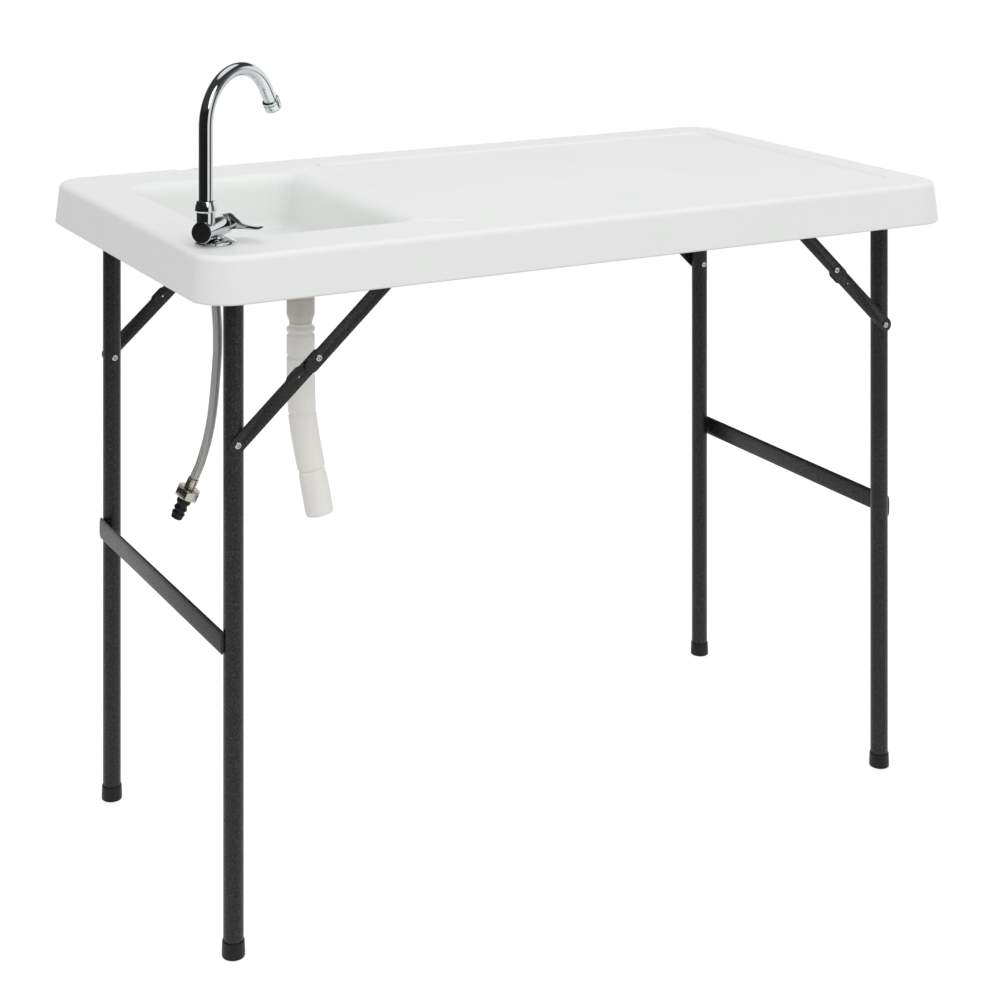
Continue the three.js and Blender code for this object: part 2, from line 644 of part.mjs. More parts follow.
// The spout's middle line: up from the boss, round the bend and down the tail
class GooseNeck extends THREE.Curve {
  getPoint(share, target = point()) {
    const bendLength = SPOUT_BEND_RADIUS * SPOUT_BEND;
    const gone = share * (SPOUT_STRAIGHT + bendLength + SPOUT_TAIL);
    if (gone <= SPOUT_STRAIGHT) return target.set(0, 0, gone);
    const turn = Math.min((gone - SPOUT_STRAIGHT) / SPOUT_BEND_RADIUS, SPOUT_BEND);
    const tail = Math.max(gone - SPOUT_STRAIGHT - bendLength, 0);
    const out = SPOUT_BEND_RADIUS * (1 - Math.cos(turn)) + tail * Math.sin(turn);
    const up = SPOUT_STRAIGHT + SPOUT_BEND_RADIUS * Math.sin(turn) + tail * Math.cos(turn);
    return target.set(out, 0, up);
  }
}

function addFaucetBase(faucet) {
  const bottom = GAP;
  const base = cut(
    turned(baseDomeShares, BASE_DIAMETER, BASE_HEIGHT),
    post(SHANK_DIAMETER + 2 * GAP, -OVERRUN, BASE_HEIGHT + OVERRUN),
    post(DECK_WASHER_DIAMETER + 2 * GAP, -OVERRUN, DECK_WASHER_THICKNESS + GAP),
  );
  addPiece(faucet, 'faucet_base_plate', base, chrome).position.z = bottom;
  const washer = cut(
    post(DECK_WASHER_DIAMETER, bottom, bottom + DECK_WASHER_THICKNESS),
    post(SHANK_DIAMETER + 2 * GAP, bottom - OVERRUN, bottom + DECK_WASHER_THICKNESS + OVERRUN),
  );
  addPiece(faucet, 'faucet_deck_washer', washer, rubber);
}

// The barrel lies across the base, with the riser boss near its front end
function addFaucetBody(faucet) {
  const neckBottom = BASE_HEIGHT + 2 * GAP;
  const axis = BARREL_AXIS_HEIGHT;
  const cartridgeBore = CARTRIDGE_DIAMETER + 2 * GAP;
  const boreEnd = BARREL_BACK - CARTRIDGE_LENGTH - GAP;
  const riserTop = point(-RISER_OFFSET, 0, RISER_BOSS_HEIGHT);
  const barrel = join(
    rod(BARREL_DIAMETER, point(-BARREL_FRONT, 0, axis), point(BARREL_BACK, 0, axis)),
    post(NECK_DIAMETER, neckBottom, axis),
    rod(RISER_BOSS_DIAMETER, point(-RISER_OFFSET, 0, axis), riserTop),
  );
  const body = cut(
    barrel,
    rod(cartridgeBore, point(boreEnd, 0, axis), point(BARREL_BACK + OVERRUN, 0, axis)),
    rod(RISER_BORE, point(-RISER_OFFSET, 0, axis), point(-RISER_OFFSET, 0, RISER_BOSS_HEIGHT + OVERRUN)),
    rod(RISER_BORE, point(-RISER_OFFSET, 0, axis), point(boreEnd + OVERRUN, 0, axis)),
    post(SHANK_DIAMETER + 2 * GAP, neckBottom - OVERRUN, neckBottom + SHANK_SOCKET_DEPTH),
    post(SHANK_BORE, neckBottom, axis),
  );
  addPiece(faucet, 'faucet_body', body, chrome);

  const capInner = -BARREL_FRONT - GAP;
  const cap = rod(END_CAP_DIAMETER, point(capInner - END_CAP_THICKNESS, 0, axis), point(capInner, 0, axis));
  addPiece(faucet, 'faucet_end_cap', cap, blackPlastic);

  const cartridge = join(
    rod(CARTRIDGE_DIAMETER, point(BARREL_BACK - CARTRIDGE_LENGTH, 0, axis), point(BARREL_BACK, 0, axis)),
    rod(CARTRIDGE_STEM_DIAMETER, point(0, 0, axis), point(BARREL_BACK + CARTRIDGE_STEM_LENGTH, 0, axis)),
  );
  addPiece(faucet, 'faucet_cartridge', cartridge, nickel);
}

function addFaucetLever(faucet) {
  const hubStart = BARREL_BACK + GAP;
  const hubEnd = hubStart + LEVER_HUB_LENGTH;
  const outline = new THREE.Shape(leverOutlineShares.map(([along, up]) => (
    new THREE.Vector2(along * LEVER_REACH, up * LEVER_RISE)
  )));
  const blade = plate(outline, LEVER_BLADE_WIDTH).rotate([0, 0, -90]);
  const lever = new THREE.Group();
  lever.position.set(0, 0, BARREL_AXIS_HEIGHT);
  faucet.add(lever);
  const hub = rod(LEVER_HUB_DIAMETER, point(hubStart, 0, 0), point(hubEnd, 0, 0));
  const socketEnd = BARREL_BACK + CARTRIDGE_STEM_LENGTH + GAP;
  const socket = rod(
    CARTRIDGE_STEM_DIAMETER + 2 * GAP,
    point(hubStart - OVERRUN, 0, 0),
    point(socketEnd, 0, 0),
    SMALL_SIDES,
  );
  const body = cut(join(hub, blade.translate([(hubStart + hubEnd) / 2, 0, 0])), socket);
  addPiece(lever, 'faucet_lever', body, chrome);
}

function addSpout(faucet) {
  const riser = new THREE.Group();
  riser.position.set(-RISER_OFFSET, 0, RISER_BOSS_HEIGHT + GAP);
  riser.rotation.z = SPOUT_TURN - FAUCET_TURN;
  faucet.add(riser);

  const nut = cut(
    turned(spoutNutShares, SPOUT_NUT_DIAMETER, SPOUT_NUT_HEIGHT),
    post(SPOUT_DIAMETER + 2 * GAP, -OVERRUN, SPOUT_NUT_HEIGHT + OVERRUN),
  );
  addPiece(riser, 'faucet_spout_nut', nut, chrome);

  const section = new THREE.Shape();
  section.absarc(0, 0, SPOUT_DIAMETER / 2, 0, 2 * Math.PI, false);
  section.holes.push(roundHole(0, 0, SPOUT_DIAMETER - 2 * SPOUT_WALL));
  const neck = new GooseNeck();
  const spout = new THREE.ExtrudeGeometry(section, {
    steps: SPOUT_STEPS, curveSegments: SMALL_SIDES / 2, bevelEnabled: false, extrudePath: neck,
  });
  addPiece(riser, 'faucet_spout', solid(spout), chrome);

  const tip = new THREE.Group();
  tip.position.copy(neck.getPoint(1));
  tip.rotation.y = SPOUT_BEND;
  riser.add(tip);
  const aerator = cut(
    turned(aeratorShares, AERATOR_DIAMETER, AERATOR_LENGTH),
    post(AERATOR_BORE, -OVERRUN, AERATOR_LENGTH + OVERRUN, SMALL_SIDES),
  );
  addPiece(tip, 'faucet_aerator', aerator, chrome).position.z = GAP;
}

function addShank(faucet) {
  const top = BASE_HEIGHT + GAP + SHANK_SOCKET_DEPTH;
  const bottom = -PANEL_THICKNESS - SHANK_BELOW_PANEL;
  const shank = cut(
    post(SHANK_DIAMETER, bottom, top),
    post(SHANK_BORE, bottom - OVERRUN, top + OVERRUN, SMALL_SIDES),
  );
  addPiece(faucet, 'faucet_shank', shank, nickel);
  const nutTop = -PANEL_THICKNESS - GAP;
  const nut = cut(
    hexagon(DECK_NUT_FLATS, nutTop - DECK_NUT_HEIGHT, nutTop),
    post(SHANK_DIAMETER + 2 * GAP, nutTop - DECK_NUT_HEIGHT - OVERRUN, nutTop + OVERRUN),
  );
  addPiece(faucet, 'faucet_deck_nut', nut, nickel).rotation.z = -FAUCET_TURN;
}

function addFaucet(table) {
  const faucet = new THREE.Group();
  faucet.position.set(FAUCET_X, FAUCET_Y, TOP_HEIGHT);
  faucet.rotation.z = FAUCET_TURN;
  table.add(faucet);
  addFaucetBase(faucet);
  addFaucetBody(faucet);
  addFaucetLever(faucet);
  addSpout(faucet);
  addShank(faucet);
}

// Supply hose with its fittings

function addSupplyHose(table) {
  const shankBottom = UNDERSIDE - SHANK_BELOW_PANEL;
  const ferruleTop = shankBottom - GAP;
  const topFerrule = cut(
    post(TOP_FERRULE_DIAMETER, ferruleTop - TOP_FERRULE_LENGTH, ferruleTop),
    post(HOSE_FITTING_BORE, ferruleTop - TOP_FERRULE_LENGTH - OVERRUN, ferruleTop + OVERRUN, SMALL_SIDES),
  );
  addPiece(table, 'hose_top_ferrule', topFerrule, nickel).position.set(FAUCET_X, FAUCET_Y, 0);

  const places = hoseRoute.map((place) => point(...place));
  const curve = new THREE.CatmullRomCurve3(places, false, 'centripetal');
  const section = new THREE.Shape();
  section.absarc(0, 0, HOSE_DIAMETER / 2, 0, 2 * Math.PI, false);
  const hose = new THREE.ExtrudeGeometry(section, {
    steps: HOSE_STEPS, curveSegments: HOSE_SIDES / 2, bevelEnabled: false, extrudePath: curve,
  });
  addPiece(table, 'water_hose', solid(hose), braid);

  const end = new THREE.Group();
  end.position.copy(places.at(-1));
  end.quaternion.setFromUnitVectors(AXIS_Z, curve.getTangentAt(1));
  table.add(end);
  const ferruleEnd = GAP + END_FERRULE_LENGTH;
  const endFerrule = cut(
    post(END_FERRULE_DIAMETER, GAP, ferruleEnd, SMALL_SIDES),
    post(HOSE_FITTING_BORE, GAP - OVERRUN, ferruleEnd + OVERRUN, SMALL_SIDES),
  );
  addPiece(end, 'hose_end_ferrule', endFerrule, nickel);
  const nutStart = ferruleEnd + GAP;
  const nutEnd = nutStart + HOSE_NUT_HEIGHT;
  const nut = cut(
    hexagon(HOSE_NUT_FLATS, nutStart, nutEnd),
    post(HOSE_FITTING_BORE, nutStart - OVERRUN, nutEnd + OVERRUN, SMALL_SIDES),
  );
  addPiece(end, 'hose_nut', nut, nickel);
  const connector = cut(
    turned(connectorShares, CONNECTOR_DIAMETER, CONNECTOR_LENGTH, SMALL_SIDES),
    post(HOSE_FITTING_BORE, -OVERRUN, CONNECTOR_LENGTH + OVERRUN, SMALL_SIDES),
  );
  addPiece(end, 'quick_connector', connector, blackPlastic).position.z = nutEnd + GAP;
}

// Leg frames. Inside a frame's group the folding axis is the local Y axis through its origin.

function legTube(braceDrop) {
  const top = LEG_TOP_RISE;
  const bottom = -PIVOT_HEIGHT + FOOT_FLOOR + GAP;
  const across = TUBE_RADIUS + OVERRUN;
  return cut(
    post(TUBE_DIAMETER, bottom, top),
    post(TUBE_DIAMETER - 2 * TUBE_WALL, bottom - OVERRUN, top + OVERRUN),
    rod(AXLE_DIAMETER + 2 * GAP, point(0, -across, 0), point(0, across, 0), SMALL_SIDES),
    rod(RIVET_DIAMETER + 2 * GAP, point(0, -across, -braceDrop), point(0, across, -braceDrop), SMALL_SIDES),
  );
}

function footCap() {
  const bore = (TUBE_DIAMETER + 2 * GAP) / 2;
  const outline = [
    new THREE.Vector2(0, 0),
    new THREE.Vector2(FOOT_DIAMETER / 2, 0),
    new THREE.Vector2(FOOT_TOP_DIAMETER / 2, FOOT_HEIGHT),
    new THREE.Vector2(bore, FOOT_HEIGHT),
    new THREE.Vector2(bore, FOOT_FLOOR),
    new THREE.Vector2(0, FOOT_FLOOR),
  ];
  const shape = new THREE.LatheGeometry(outline, ROUND_SIDES);
  shape.rotateX(Math.PI / 2);
  return solid(shape);
}

// A flattened tube: a bar with rounded long edges across the outer faces of both legs
function crossBar() {
  const halfFlat = (BAR_HEIGHT * BAR_WIDTH_FLAT_SHARE) / 2;
  const halfHeight = BAR_HEIGHT / 2;
  const halfThickness = BAR_THICKNESS / 2;
  const shape = new THREE.Shape();
  shape.moveTo(-halfThickness, -halfFlat);
  shape.quadraticCurveTo(-halfThickness, -halfHeight, 0, -halfHeight);
  shape.quadraticCurveTo(halfThickness, -halfHeight, halfThickness, -halfFlat);
  shape.lineTo(halfThickness, halfFlat);
  shape.quadraticCurveTo(halfThickness, halfHeight, 0, halfHeight);
  shape.quadraticCurveTo(-halfThickness, halfHeight, -halfThickness, halfFlat);
  return plate(shape, LEG_SPREAD + 2 * BAR_END_REACH);
}

// The rivet through a leg and its lower link; outwards is the local +Y direction
function legRivet() {
  const innerHead = -TUBE_RADIUS - GAP - RIVET_HEAD_HEIGHT;
  const outerHead = LEG_RIVET_HEAD_INSIDE;
  const outerEnd = outerHead + RIVET_HEAD_HEIGHT;
  return join(
    rod(RIVET_DIAMETER, point(0, innerHead, 0), point(0, outerEnd, 0), SMALL_SIDES),
    rod(RIVET_HEAD_DIAMETER, point(0, innerHead, 0), point(0, innerHead + RIVET_HEAD_HEIGHT, 0), SMALL_SIDES),
    rod(RIVET_HEAD_DIAMETER, point(0, outerHead, 0), point(0, outerEnd, 0), SMALL_SIDES),
  );
}

// The elbow rivet holds the upper link and stands on the lower one
function elbowRivet() {
  const shoulder = LEG_RIVET_HEAD_INSIDE;
  const head = UPPER_LINK_INSIDE + LINK_THICKNESS + GAP;
  const headEnd = head + RIVET_HEAD_HEIGHT;
  return join(
    rod(RIVET_HEAD_DIAMETER, point(0, shoulder, 0), point(0, shoulder + RIVET_HEAD_HEIGHT, 0), SMALL_SIDES),
    rod(RIVET_DIAMETER, point(0, shoulder, 0), point(0, headEnd, 0), SMALL_SIDES),
    rod(RIVET_HEAD_DIAMETER, point(0, head, 0), point(0, headEnd, 0), SMALL_SIDES),
  );
}

// The upper link runs from its anchor along local +X
function upperLink(length) {
  const half = LINK_WIDTH / 2;
  const end = length + LINK_END_PAST_ELBOW - half;
  const shape = new THREE.Shape();
  shape.absarc(0, 0, half, Math.PI / 2, (3 * Math.PI) / 2, false);
  shape.absarc(end, 0, half, -Math.PI / 2, Math.PI / 2, false);
  shape.holes.push(roundHole(0, 0, RIVET_DIAMETER + 2 * GAP));
  shape.holes.push(roundHole(length, 0, RIVET_DIAMETER + 2 * GAP));
  return plate(shape, LINK_THICKNESS);
}

// The lower link runs from the leg along local +X. Its stop ear, on the +Z side, starts that far from the elbow.
function lowerLink(length, earFromElbow) {
  const half = LINK_WIDTH / 2;
  const shape = new THREE.Shape();
  shape.absarc(0, 0, half, Math.PI / 2, (3 * Math.PI) / 2, false);
  shape.absarc(length, 0, half, -Math.PI / 2, Math.PI / 2, false);
  shape.holes.push(roundHole(0, 0, RIVET_DIAMETER + 2 * GAP));
  shape.holes.push(roundHole(length, 0, RIVET_DIAMETER + 2 * GAP));
  shape.holes.push(roundHole(length - STOP_HOLE_FROM_ELBOW, 0, STOP_HOLE_DIAMETER));
  const earStart = length - earFromElbow;
  const earEnd = earStart + STOP_EAR_LENGTH;
  const raised = half + STOP_EAR_RISE;
  const ear = new THREE.Shape();
  ear.moveTo(earStart, half / 2);
  ear.lineTo(earEnd, half / 2);
  ear.lineTo(earEnd, half);
  ear.lineTo(earEnd - STOP_EAR_RAMP, raised);
  ear.lineTo(earStart + STOP_EAR_RAMP, raised);
  ear.lineTo(earStart, half);
  return join(plate(shape, LINK_THICKNESS), plate(ear, LINK_THICKNESS));
}

// A hinge bracket: an ear beside the leg, round the axle rod, with a flange under the panel
function hingeBracket() {
  const half = HINGE_EAR_WIDTH / 2;
  const top = BRACKET_TOP - PIVOT_HEIGHT;
  const shape = new THREE.Shape();
  shape.moveTo(half, top);
  shape.lineTo(-half, top);
  shape.absarc(0, 0, half, Math.PI, 2 * Math.PI, false);
  shape.holes.push(roundHole(0, 0, AXLE_DIAMETER + 2 * GAP));
  const ear = plate(shape, HINGE_EAR_THICKNESS);
  const outside = HINGE_EAR_THICKNESS / 2;
  const flange = block(
    point(-half, -outside, top - HINGE_FLANGE_THICKNESS),
    point(half, outside + HINGE_FLANGE_WIDTH, top),
  );
  return join(ear, flange);
}

// A brace anchor: a tab outside the upper link, its pin through the link, and a flange under the panel
function anchorBracket() {
  const half = ANCHOR_WIDTH / 2;
  const top = BRACKET_TOP - PIVOT_HEIGHT;
  const shape = new THREE.Shape();
  shape.moveTo(half, top);
  shape.lineTo(-half, top);
  shape.absarc(0, 0, half, Math.PI, 2 * Math.PI, false);
  const tab = plate(shape, ANCHOR_THICKNESS).translate([0, ANCHOR_INSIDE + ANCHOR_THICKNESS / 2, 0]);
  const flange = block(
    point(-half, ANCHOR_INSIDE, top - ANCHOR_THICKNESS),
    point(half, ANCHOR_INSIDE + ANCHOR_FLANGE_WIDTH, top),
  );
  const pinEnd = ANCHOR_INSIDE + ANCHOR_THICKNESS;
  const pin = rod(RIVET_DIAMETER, point(0, UPPER_LINK_INSIDE, 0), point(0, pinEnd, 0), SMALL_SIDES);
  return join(tab, flange, pin);
}

// A brace on one leg. Inside its group, outwards is +Y and the leg's middle is y = 0.
function addBrace(side, prefix, inwards, outwards, { drop, reach, earStart }) {
  const span = Math.hypot(drop, reach);
  const lowerLength = (span - reach + drop) / 2;
  const upperLength = span - lowerLength;
  const lean = Math.atan2(drop, reach);
  const brace = new THREE.Group();
  side.add(brace);
  const upwards = inwards > 0 ? -lean : Math.PI + lean;
  const downwards = upwards + Math.PI;
  const face = (body) => (outwards > 0 ? body : body.mirror([0, 1, 0]));

  const lowerMiddle = outwards * (LOWER_LINK_INSIDE + LINK_THICKNESS / 2);
  const lower = addPiece(brace, `${prefix}_lower_link`, lowerLink(lowerLength, earStart), steelPaint);
  lower.position.set(0, lowerMiddle, -drop);
  lower.rotation.y = upwards;
  const rivet = addPiece(brace, `${prefix}_leg_rivet`, face(legRivet()), zinc);
  rivet.position.z = -drop;

  const upperMiddle = outwards * (UPPER_LINK_INSIDE + LINK_THICKNESS / 2);
  const upper = addPiece(brace, `${prefix}_upper_link`, upperLink(upperLength), steelPaint);
  upper.position.set(inwards * reach, upperMiddle, 0);
  upper.rotation.y = downwards;
  const elbow = addPiece(brace, `${prefix}_elbow_rivet`, face(elbowRivet()), zinc);
  elbow.position.set(inwards * lowerLength * Math.cos(lean), 0, -drop + lowerLength * Math.sin(lean));

  const anchor = addPiece(brace, `${prefix}_anchor_bracket`, face(anchorBracket()), steelPaint);
  anchor.position.x = inwards * reach;
}

// One leg frame with its hinge brackets and braces; inwards is 1 where the table lies towards +X
function addLegFrame(table, name, inwards, margin, barHeight, brace) {
  const frame = new THREE.Group();
  frame.position.set(inwards * (margin - TOP_END), -inwards * FRAME_SHIFT, PIVOT_HEIGHT);
  table.add(frame);

  const legs = [['front', -1], ['back', 1]];
  legs.forEach(([place, outwards]) => {
    const side = new THREE.Group();
    side.position.y = (outwards * LEG_SPREAD) / 2;
    frame.add(side);
    const prefix = `${name}_${place}`;
    addPiece(side, `${prefix}_leg`, legTube(brace.drop), steelPaint);
    addPiece(side, `${prefix}_foot`, footCap(), blackPlastic).position.z = -PIVOT_HEIGHT;
    const ear = outwards > 0 ? hingeBracket() : hingeBracket().mirror([0, 1, 0]);
    const bracket = addPiece(side, `${prefix}_hinge_bracket`, ear, steelPaint);
    bracket.position.y = outwards * (TUBE_RADIUS + GAP + HINGE_EAR_THICKNESS / 2);
    addBrace(side, prefix, inwards, outwards, brace);
  });

  const bar = addPiece(frame, `${name}_cross_bar`, crossBar(), steelPaint);
  bar.position.x = -inwards * (TUBE_RADIUS + GAP + BAR_THICKNESS / 2);
  bar.position.z = barHeight - PIVOT_HEIGHT;

  const rodEnd = LEG_SPREAD / 2 + TUBE_RADIUS + GAP + HINGE_EAR_THICKNESS + AXLE_END;
  const axle = rod(AXLE_DIAMETER, point(0, -rodEnd, 0), point(0, rodEnd, 0), SMALL_SIDES);
  addPiece(frame, `${name}_axle_rod`, axle, zinc);
}

// The whole table

const table = new THREE.Group();
table.name = 'fish_cleaning_table';
addTableTop(table);
addDrain(table);
addDrainHose(table);
addFaucet(table);
addSupplyHose(table);
addLegFrame(table, 'left', 1, LEFT_LEG_MARGIN, LEFT_BAR_ABOVE_FLOOR, {
  drop: LEFT_BRACE_DROP, reach: LEFT_BRACE_REACH, earStart: LEFT_EAR_START,
});
addLegFrame(table, 'right', -1, RIGHT_LEG_MARGIN, RIGHT_BAR_ABOVE_FLOOR, {
  drop: RIGHT_BRACE_DROP, reach: RIGHT_BRACE_REACH, earStart: RIGHT_EAR_START,
});

export default table;
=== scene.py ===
"""Folding fish cleaning table: fine meshes, finishes, hoses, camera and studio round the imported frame."""

import json
import logging
import math
from bisect import bisect_right
from contextlib import contextmanager
from dataclasses import dataclass, field
from enum import Enum
from typing import Callable, Iterator, Optional, Sequence, Union

import bmesh
import bpy
from mathutils import Matrix, Vector


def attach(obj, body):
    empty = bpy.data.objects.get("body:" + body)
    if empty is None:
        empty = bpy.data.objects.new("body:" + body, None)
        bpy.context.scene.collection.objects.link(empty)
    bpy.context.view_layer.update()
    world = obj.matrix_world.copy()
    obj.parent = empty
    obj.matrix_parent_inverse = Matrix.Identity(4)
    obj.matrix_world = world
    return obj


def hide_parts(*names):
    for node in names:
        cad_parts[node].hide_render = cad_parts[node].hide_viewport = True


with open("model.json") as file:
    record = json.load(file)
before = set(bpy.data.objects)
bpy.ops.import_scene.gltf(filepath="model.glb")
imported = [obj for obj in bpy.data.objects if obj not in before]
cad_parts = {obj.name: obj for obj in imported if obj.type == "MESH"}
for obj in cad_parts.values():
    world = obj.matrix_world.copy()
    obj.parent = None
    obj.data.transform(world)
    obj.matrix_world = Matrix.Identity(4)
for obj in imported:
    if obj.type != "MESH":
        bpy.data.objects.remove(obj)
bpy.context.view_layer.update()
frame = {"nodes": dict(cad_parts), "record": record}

log = logging.getLogger("fish_cleaning_table")

MM = 0.001
GAP = 0.3 * MM  # what touching pieces keep between them
OVERRUN = 2 * MM  # how far a cutter reaches past the face that it cuts
MERGE = 0.002 * MM  # points closer than this become one
ROUND_SIDES = 48
FINE_SIDES = 72
SMOOTH_ANGLE = math.radians(32)
WHITE = (1, 1, 1, 1)
RECORD = frame["record"]
BODY_OF = {node: body for body, nodes in RECORD["behaviour"]["bodies"].items() for node in nodes}
TO_X = Matrix.Rotation(math.pi / 2, 4, "Y")  # lays the upright axis along +X
TO_Y = Matrix.Rotation(-math.pi / 2, 4, "X")  # lays the upright axis along +Y

TOP = 864 * MM  # height of the rim above the ground
PANEL = 19 * MM
UNDERSIDE = TOP - PANEL
PIVOT = UNDERSIDE - 15 * MM  # height of the axle rods
SINK_DEPTH = 76 * MM
SINK_WALL = 5 * MM
DRAIN_AT = (-358.5 * MM, -110 * MM)
SHANK_AT = (-520.7 * MM, -217.8 * MM)
SHANK_DROP = 30 * MM  # how far the faucet's shank stands out below the panel
LEG_SPREAD = 452 * MM  # between the middles of a frame's two legs
FRAME_SHIFT = 16.75 * MM  # how far each frame stands off the middle, so that the two nest
TUBE_RADIUS = 12.5 * MM
AXLE_RADIUS = 5 * MM

Pair = tuple[float, float]
Triple = tuple[float, float, float]
FaceTest = Callable[[Vector, Vector], bool]


# Small helpers


def linear(colour: str) -> tuple[float, float, float, float]:
    """Turns an sRGB hex colour to linear values with full alpha.

    Args:
        colour: The colour as "#RRGGBB".

    Returns:
        Red, green, blue and alpha.
    """
    shares = [int(colour[start:start + 2], 16) / 255 for start in (1, 3, 5)]
    values = [share / 12.92 if share <= 0.04045 else ((share + 0.055) / 1.055) ** 2.4 for share in shares]
    return (values[0], values[1], values[2], 1.0)


def add_node(
    tree: bpy.types.NodeTree, kind: str, settings: Optional[dict] = None, links: Optional[dict] = None
) -> bpy.types.Node:
    """Adds a node with its settings and links.

    Args:
        tree: The node tree to add to.
        kind: The node's type name.
        settings: Values by socket name, socket number or property name.
        links: Output sockets by the input's name or number.

    Returns:
        The new node.
    """
    node = tree.nodes.new(kind)
    for key, value in (settings or {}).items():
        if isinstance(key, int) or key in node.inputs:
            node.inputs[key].default_value = value
        else:
            setattr(node, key, value)
    for key, socket in (links or {}).items():
        tree.links.new(socket, node.inputs[key])
    return node


def moved(x: float = 0.0, y: float = 0.0, z: float = 0.0) -> Matrix:
    """Returns the matrix of a move."""
    return Matrix.Translation((x, y, z))


def spun(degrees: float, axis: str = "Z") -> Matrix:
    """Returns the matrix of a turn round one axis."""
    return Matrix.Rotation(math.radians(degrees), 4, axis)


def select_only(obj: Optional[bpy.types.Object] = None) -> None:
    """Deselects everything, then selects one object and makes it active."""
    bpy.ops.object.select_all(action="DESELECT")
    if obj is not None:
        obj.select_set(True)
    bpy.context.view_layer.objects.active = obj


def rounded(points: Sequence[Pair], radius: float, steps: int = 4, closed: bool = False) -> list[Pair]:
    """Rounds the corners of an outline.

    Args:
        points: The outline's corners.
        radius: How far from each corner the rounding starts, at most.
        steps: The straight pieces of one rounding.
        closed: Whether the last corner joins the first.

    Returns:
        The rounded outline.
    """
    places = [Vector(point) for point in points]
    count = len(places)
    result: list[Pair] = []
    for index, here in enumerate(places):
        if not closed and index in (0, count - 1):
            result.append((here.x, here.y))
            continue
        before, after = places[index - 1], places[(index + 1) % count]
        reach = min(radius, (before - here).length * 0.45, (after - here).length * 0.45)
        start = here + (before - here).normalized() * reach
        end = here + (after - here).normalized() * reach
        for step in range(steps + 1):
            share = step / steps
            place = start * (1 - share) ** 2 + here * (2 * share * (1 - share)) + end * share**2
            result.append((place.x, place.y))
    return result


def arc(centre: Pair, radius: float, start: float, end: float, steps: int) -> list[Pair]:
    """Returns points along an arc, its angles in degrees."""
    turns = [math.radians(start + (end - start) * step / steps) for step in range(steps + 1)]
    return [(centre[0] + radius * math.cos(turn), centre[1] + radius * math.sin(turn)) for turn in turns]


def quarter_round(radius: float, top: float, steps: int, inset: float = 0.0) -> list[Pair]:
    """Returns the levels of a wall that turns over by a quarter circle.

    Args:
        radius: The rounding's radius.
        top: The height where it ends, level.
        steps: Its straight pieces.
        inset: How far the wall is set in already.

    Returns:
        Inset and height of each level, from the lowest.
    """
    turns = [step / steps * math.pi / 2 for step in range(steps + 1)]
    return [(inset + radius * (1 - math.cos(turn)), top - radius * (1 - math.sin(turn))) for turn in turns]


def scaled(shares: Sequence[Pair], across: float, along: float) -> list[Pair]:
    """Returns an outline from shares of a radius and a height, or from millimetres where a scale is MM."""
    return [(share[0] * across, share[1] * along) for share in shares]


class Route:
    """A smooth line through chosen places: a centripetal Catmull-Rom curve, measured along its length."""

    STEPS = 24

    def __init__(self, places: Sequence[Triple]) -> None:
        """Samples the line finely and measures it.

        Args:
            places: The places that the line passes in order, in millimetres.
        """
        points = [Vector(place) * MM for place in places]
        padded = [2 * points[0] - points[1], *points, 2 * points[-1] - points[-2]]
        self.points = [points[0]]
        for index in range(len(points) - 1):
            span = padded[index:index + 4]
            self.points += [self._between(span, step / self.STEPS) for step in range(1, self.STEPS + 1)]
        self.marks = [0.0]
        for before, after in zip(self.points, self.points[1:]):
            self.marks.append(self.marks[-1] + (after - before).length)

    @staticmethod
    def _between(span: Sequence[Vector], share: float) -> Vector:
        """Returns the point at a share of the way between the middle two of four points."""
        p0, p1, p2, p3 = span
        first, middle, last = [(b - a).length ** 0.5 for a, b in zip(span, span[1:])]
        leave = ((p1 - p0) / first - (p2 - p0) / (first + middle) + (p2 - p1) / middle) * middle
        arrive = ((p2 - p1) / middle - (p3 - p1) / (middle + last) + (p3 - p2) / last) * middle
        square = 3 * (p2 - p1) - 2 * leave - arrive
        cube = 2 * (p1 - p2) + leave + arrive
        return p1 + leave * share + square * share**2 + cube * share**3

    @property
    def length(self) -> float:
        """The line's length in metres."""
        return self.marks[-1]

    def at(self, share: float) -> tuple[Vector, Vector]:
        """Returns the place and the direction at a share of the length."""
        mark = min(max(share, 0.0), 1.0) * self.length
        index = min(max(bisect_right(self.marks, mark) - 1, 0), len(self.points) - 2)
        before, after = self.points[index], self.points[index + 1]
        step = (mark - self.marks[index]) / (self.marks[index + 1] - self.marks[index])
        return before.lerp(after, step), (after - before).normalized()

    def ring(self, radius: Union[float, Sequence[float]], share: float, sides: int) -> list[Vector]:
        """Returns a ring of points square to the line.

        Args:
            radius: The ring's radius, or one for each of its points.
            share: Where the ring's middle is, as a share of the length.
            sides: How many points the ring has.

        Returns:
            The ring's points.
        """
        middle, along = self.at(share)
        sideways = Vector((0, 1, 0)).cross(along).normalized()
        forwards = along.cross(sideways)
        radii = [radius] * sides if isinstance(radius, float) else radius
        turns = [2 * math.pi * side / sides for side in range(sides)]
        return [
            middle + sideways * (reach * math.cos(turn)) + forwards * (reach * math.sin(turn))
            for reach, turn in zip(radii, turns)
        ]


# Bench work


class Joining(Enum):
    """How one workpiece acts on another."""

    CUT = "DIFFERENCE"
    JOIN = "UNION"
    KEEP = "INTERSECT"


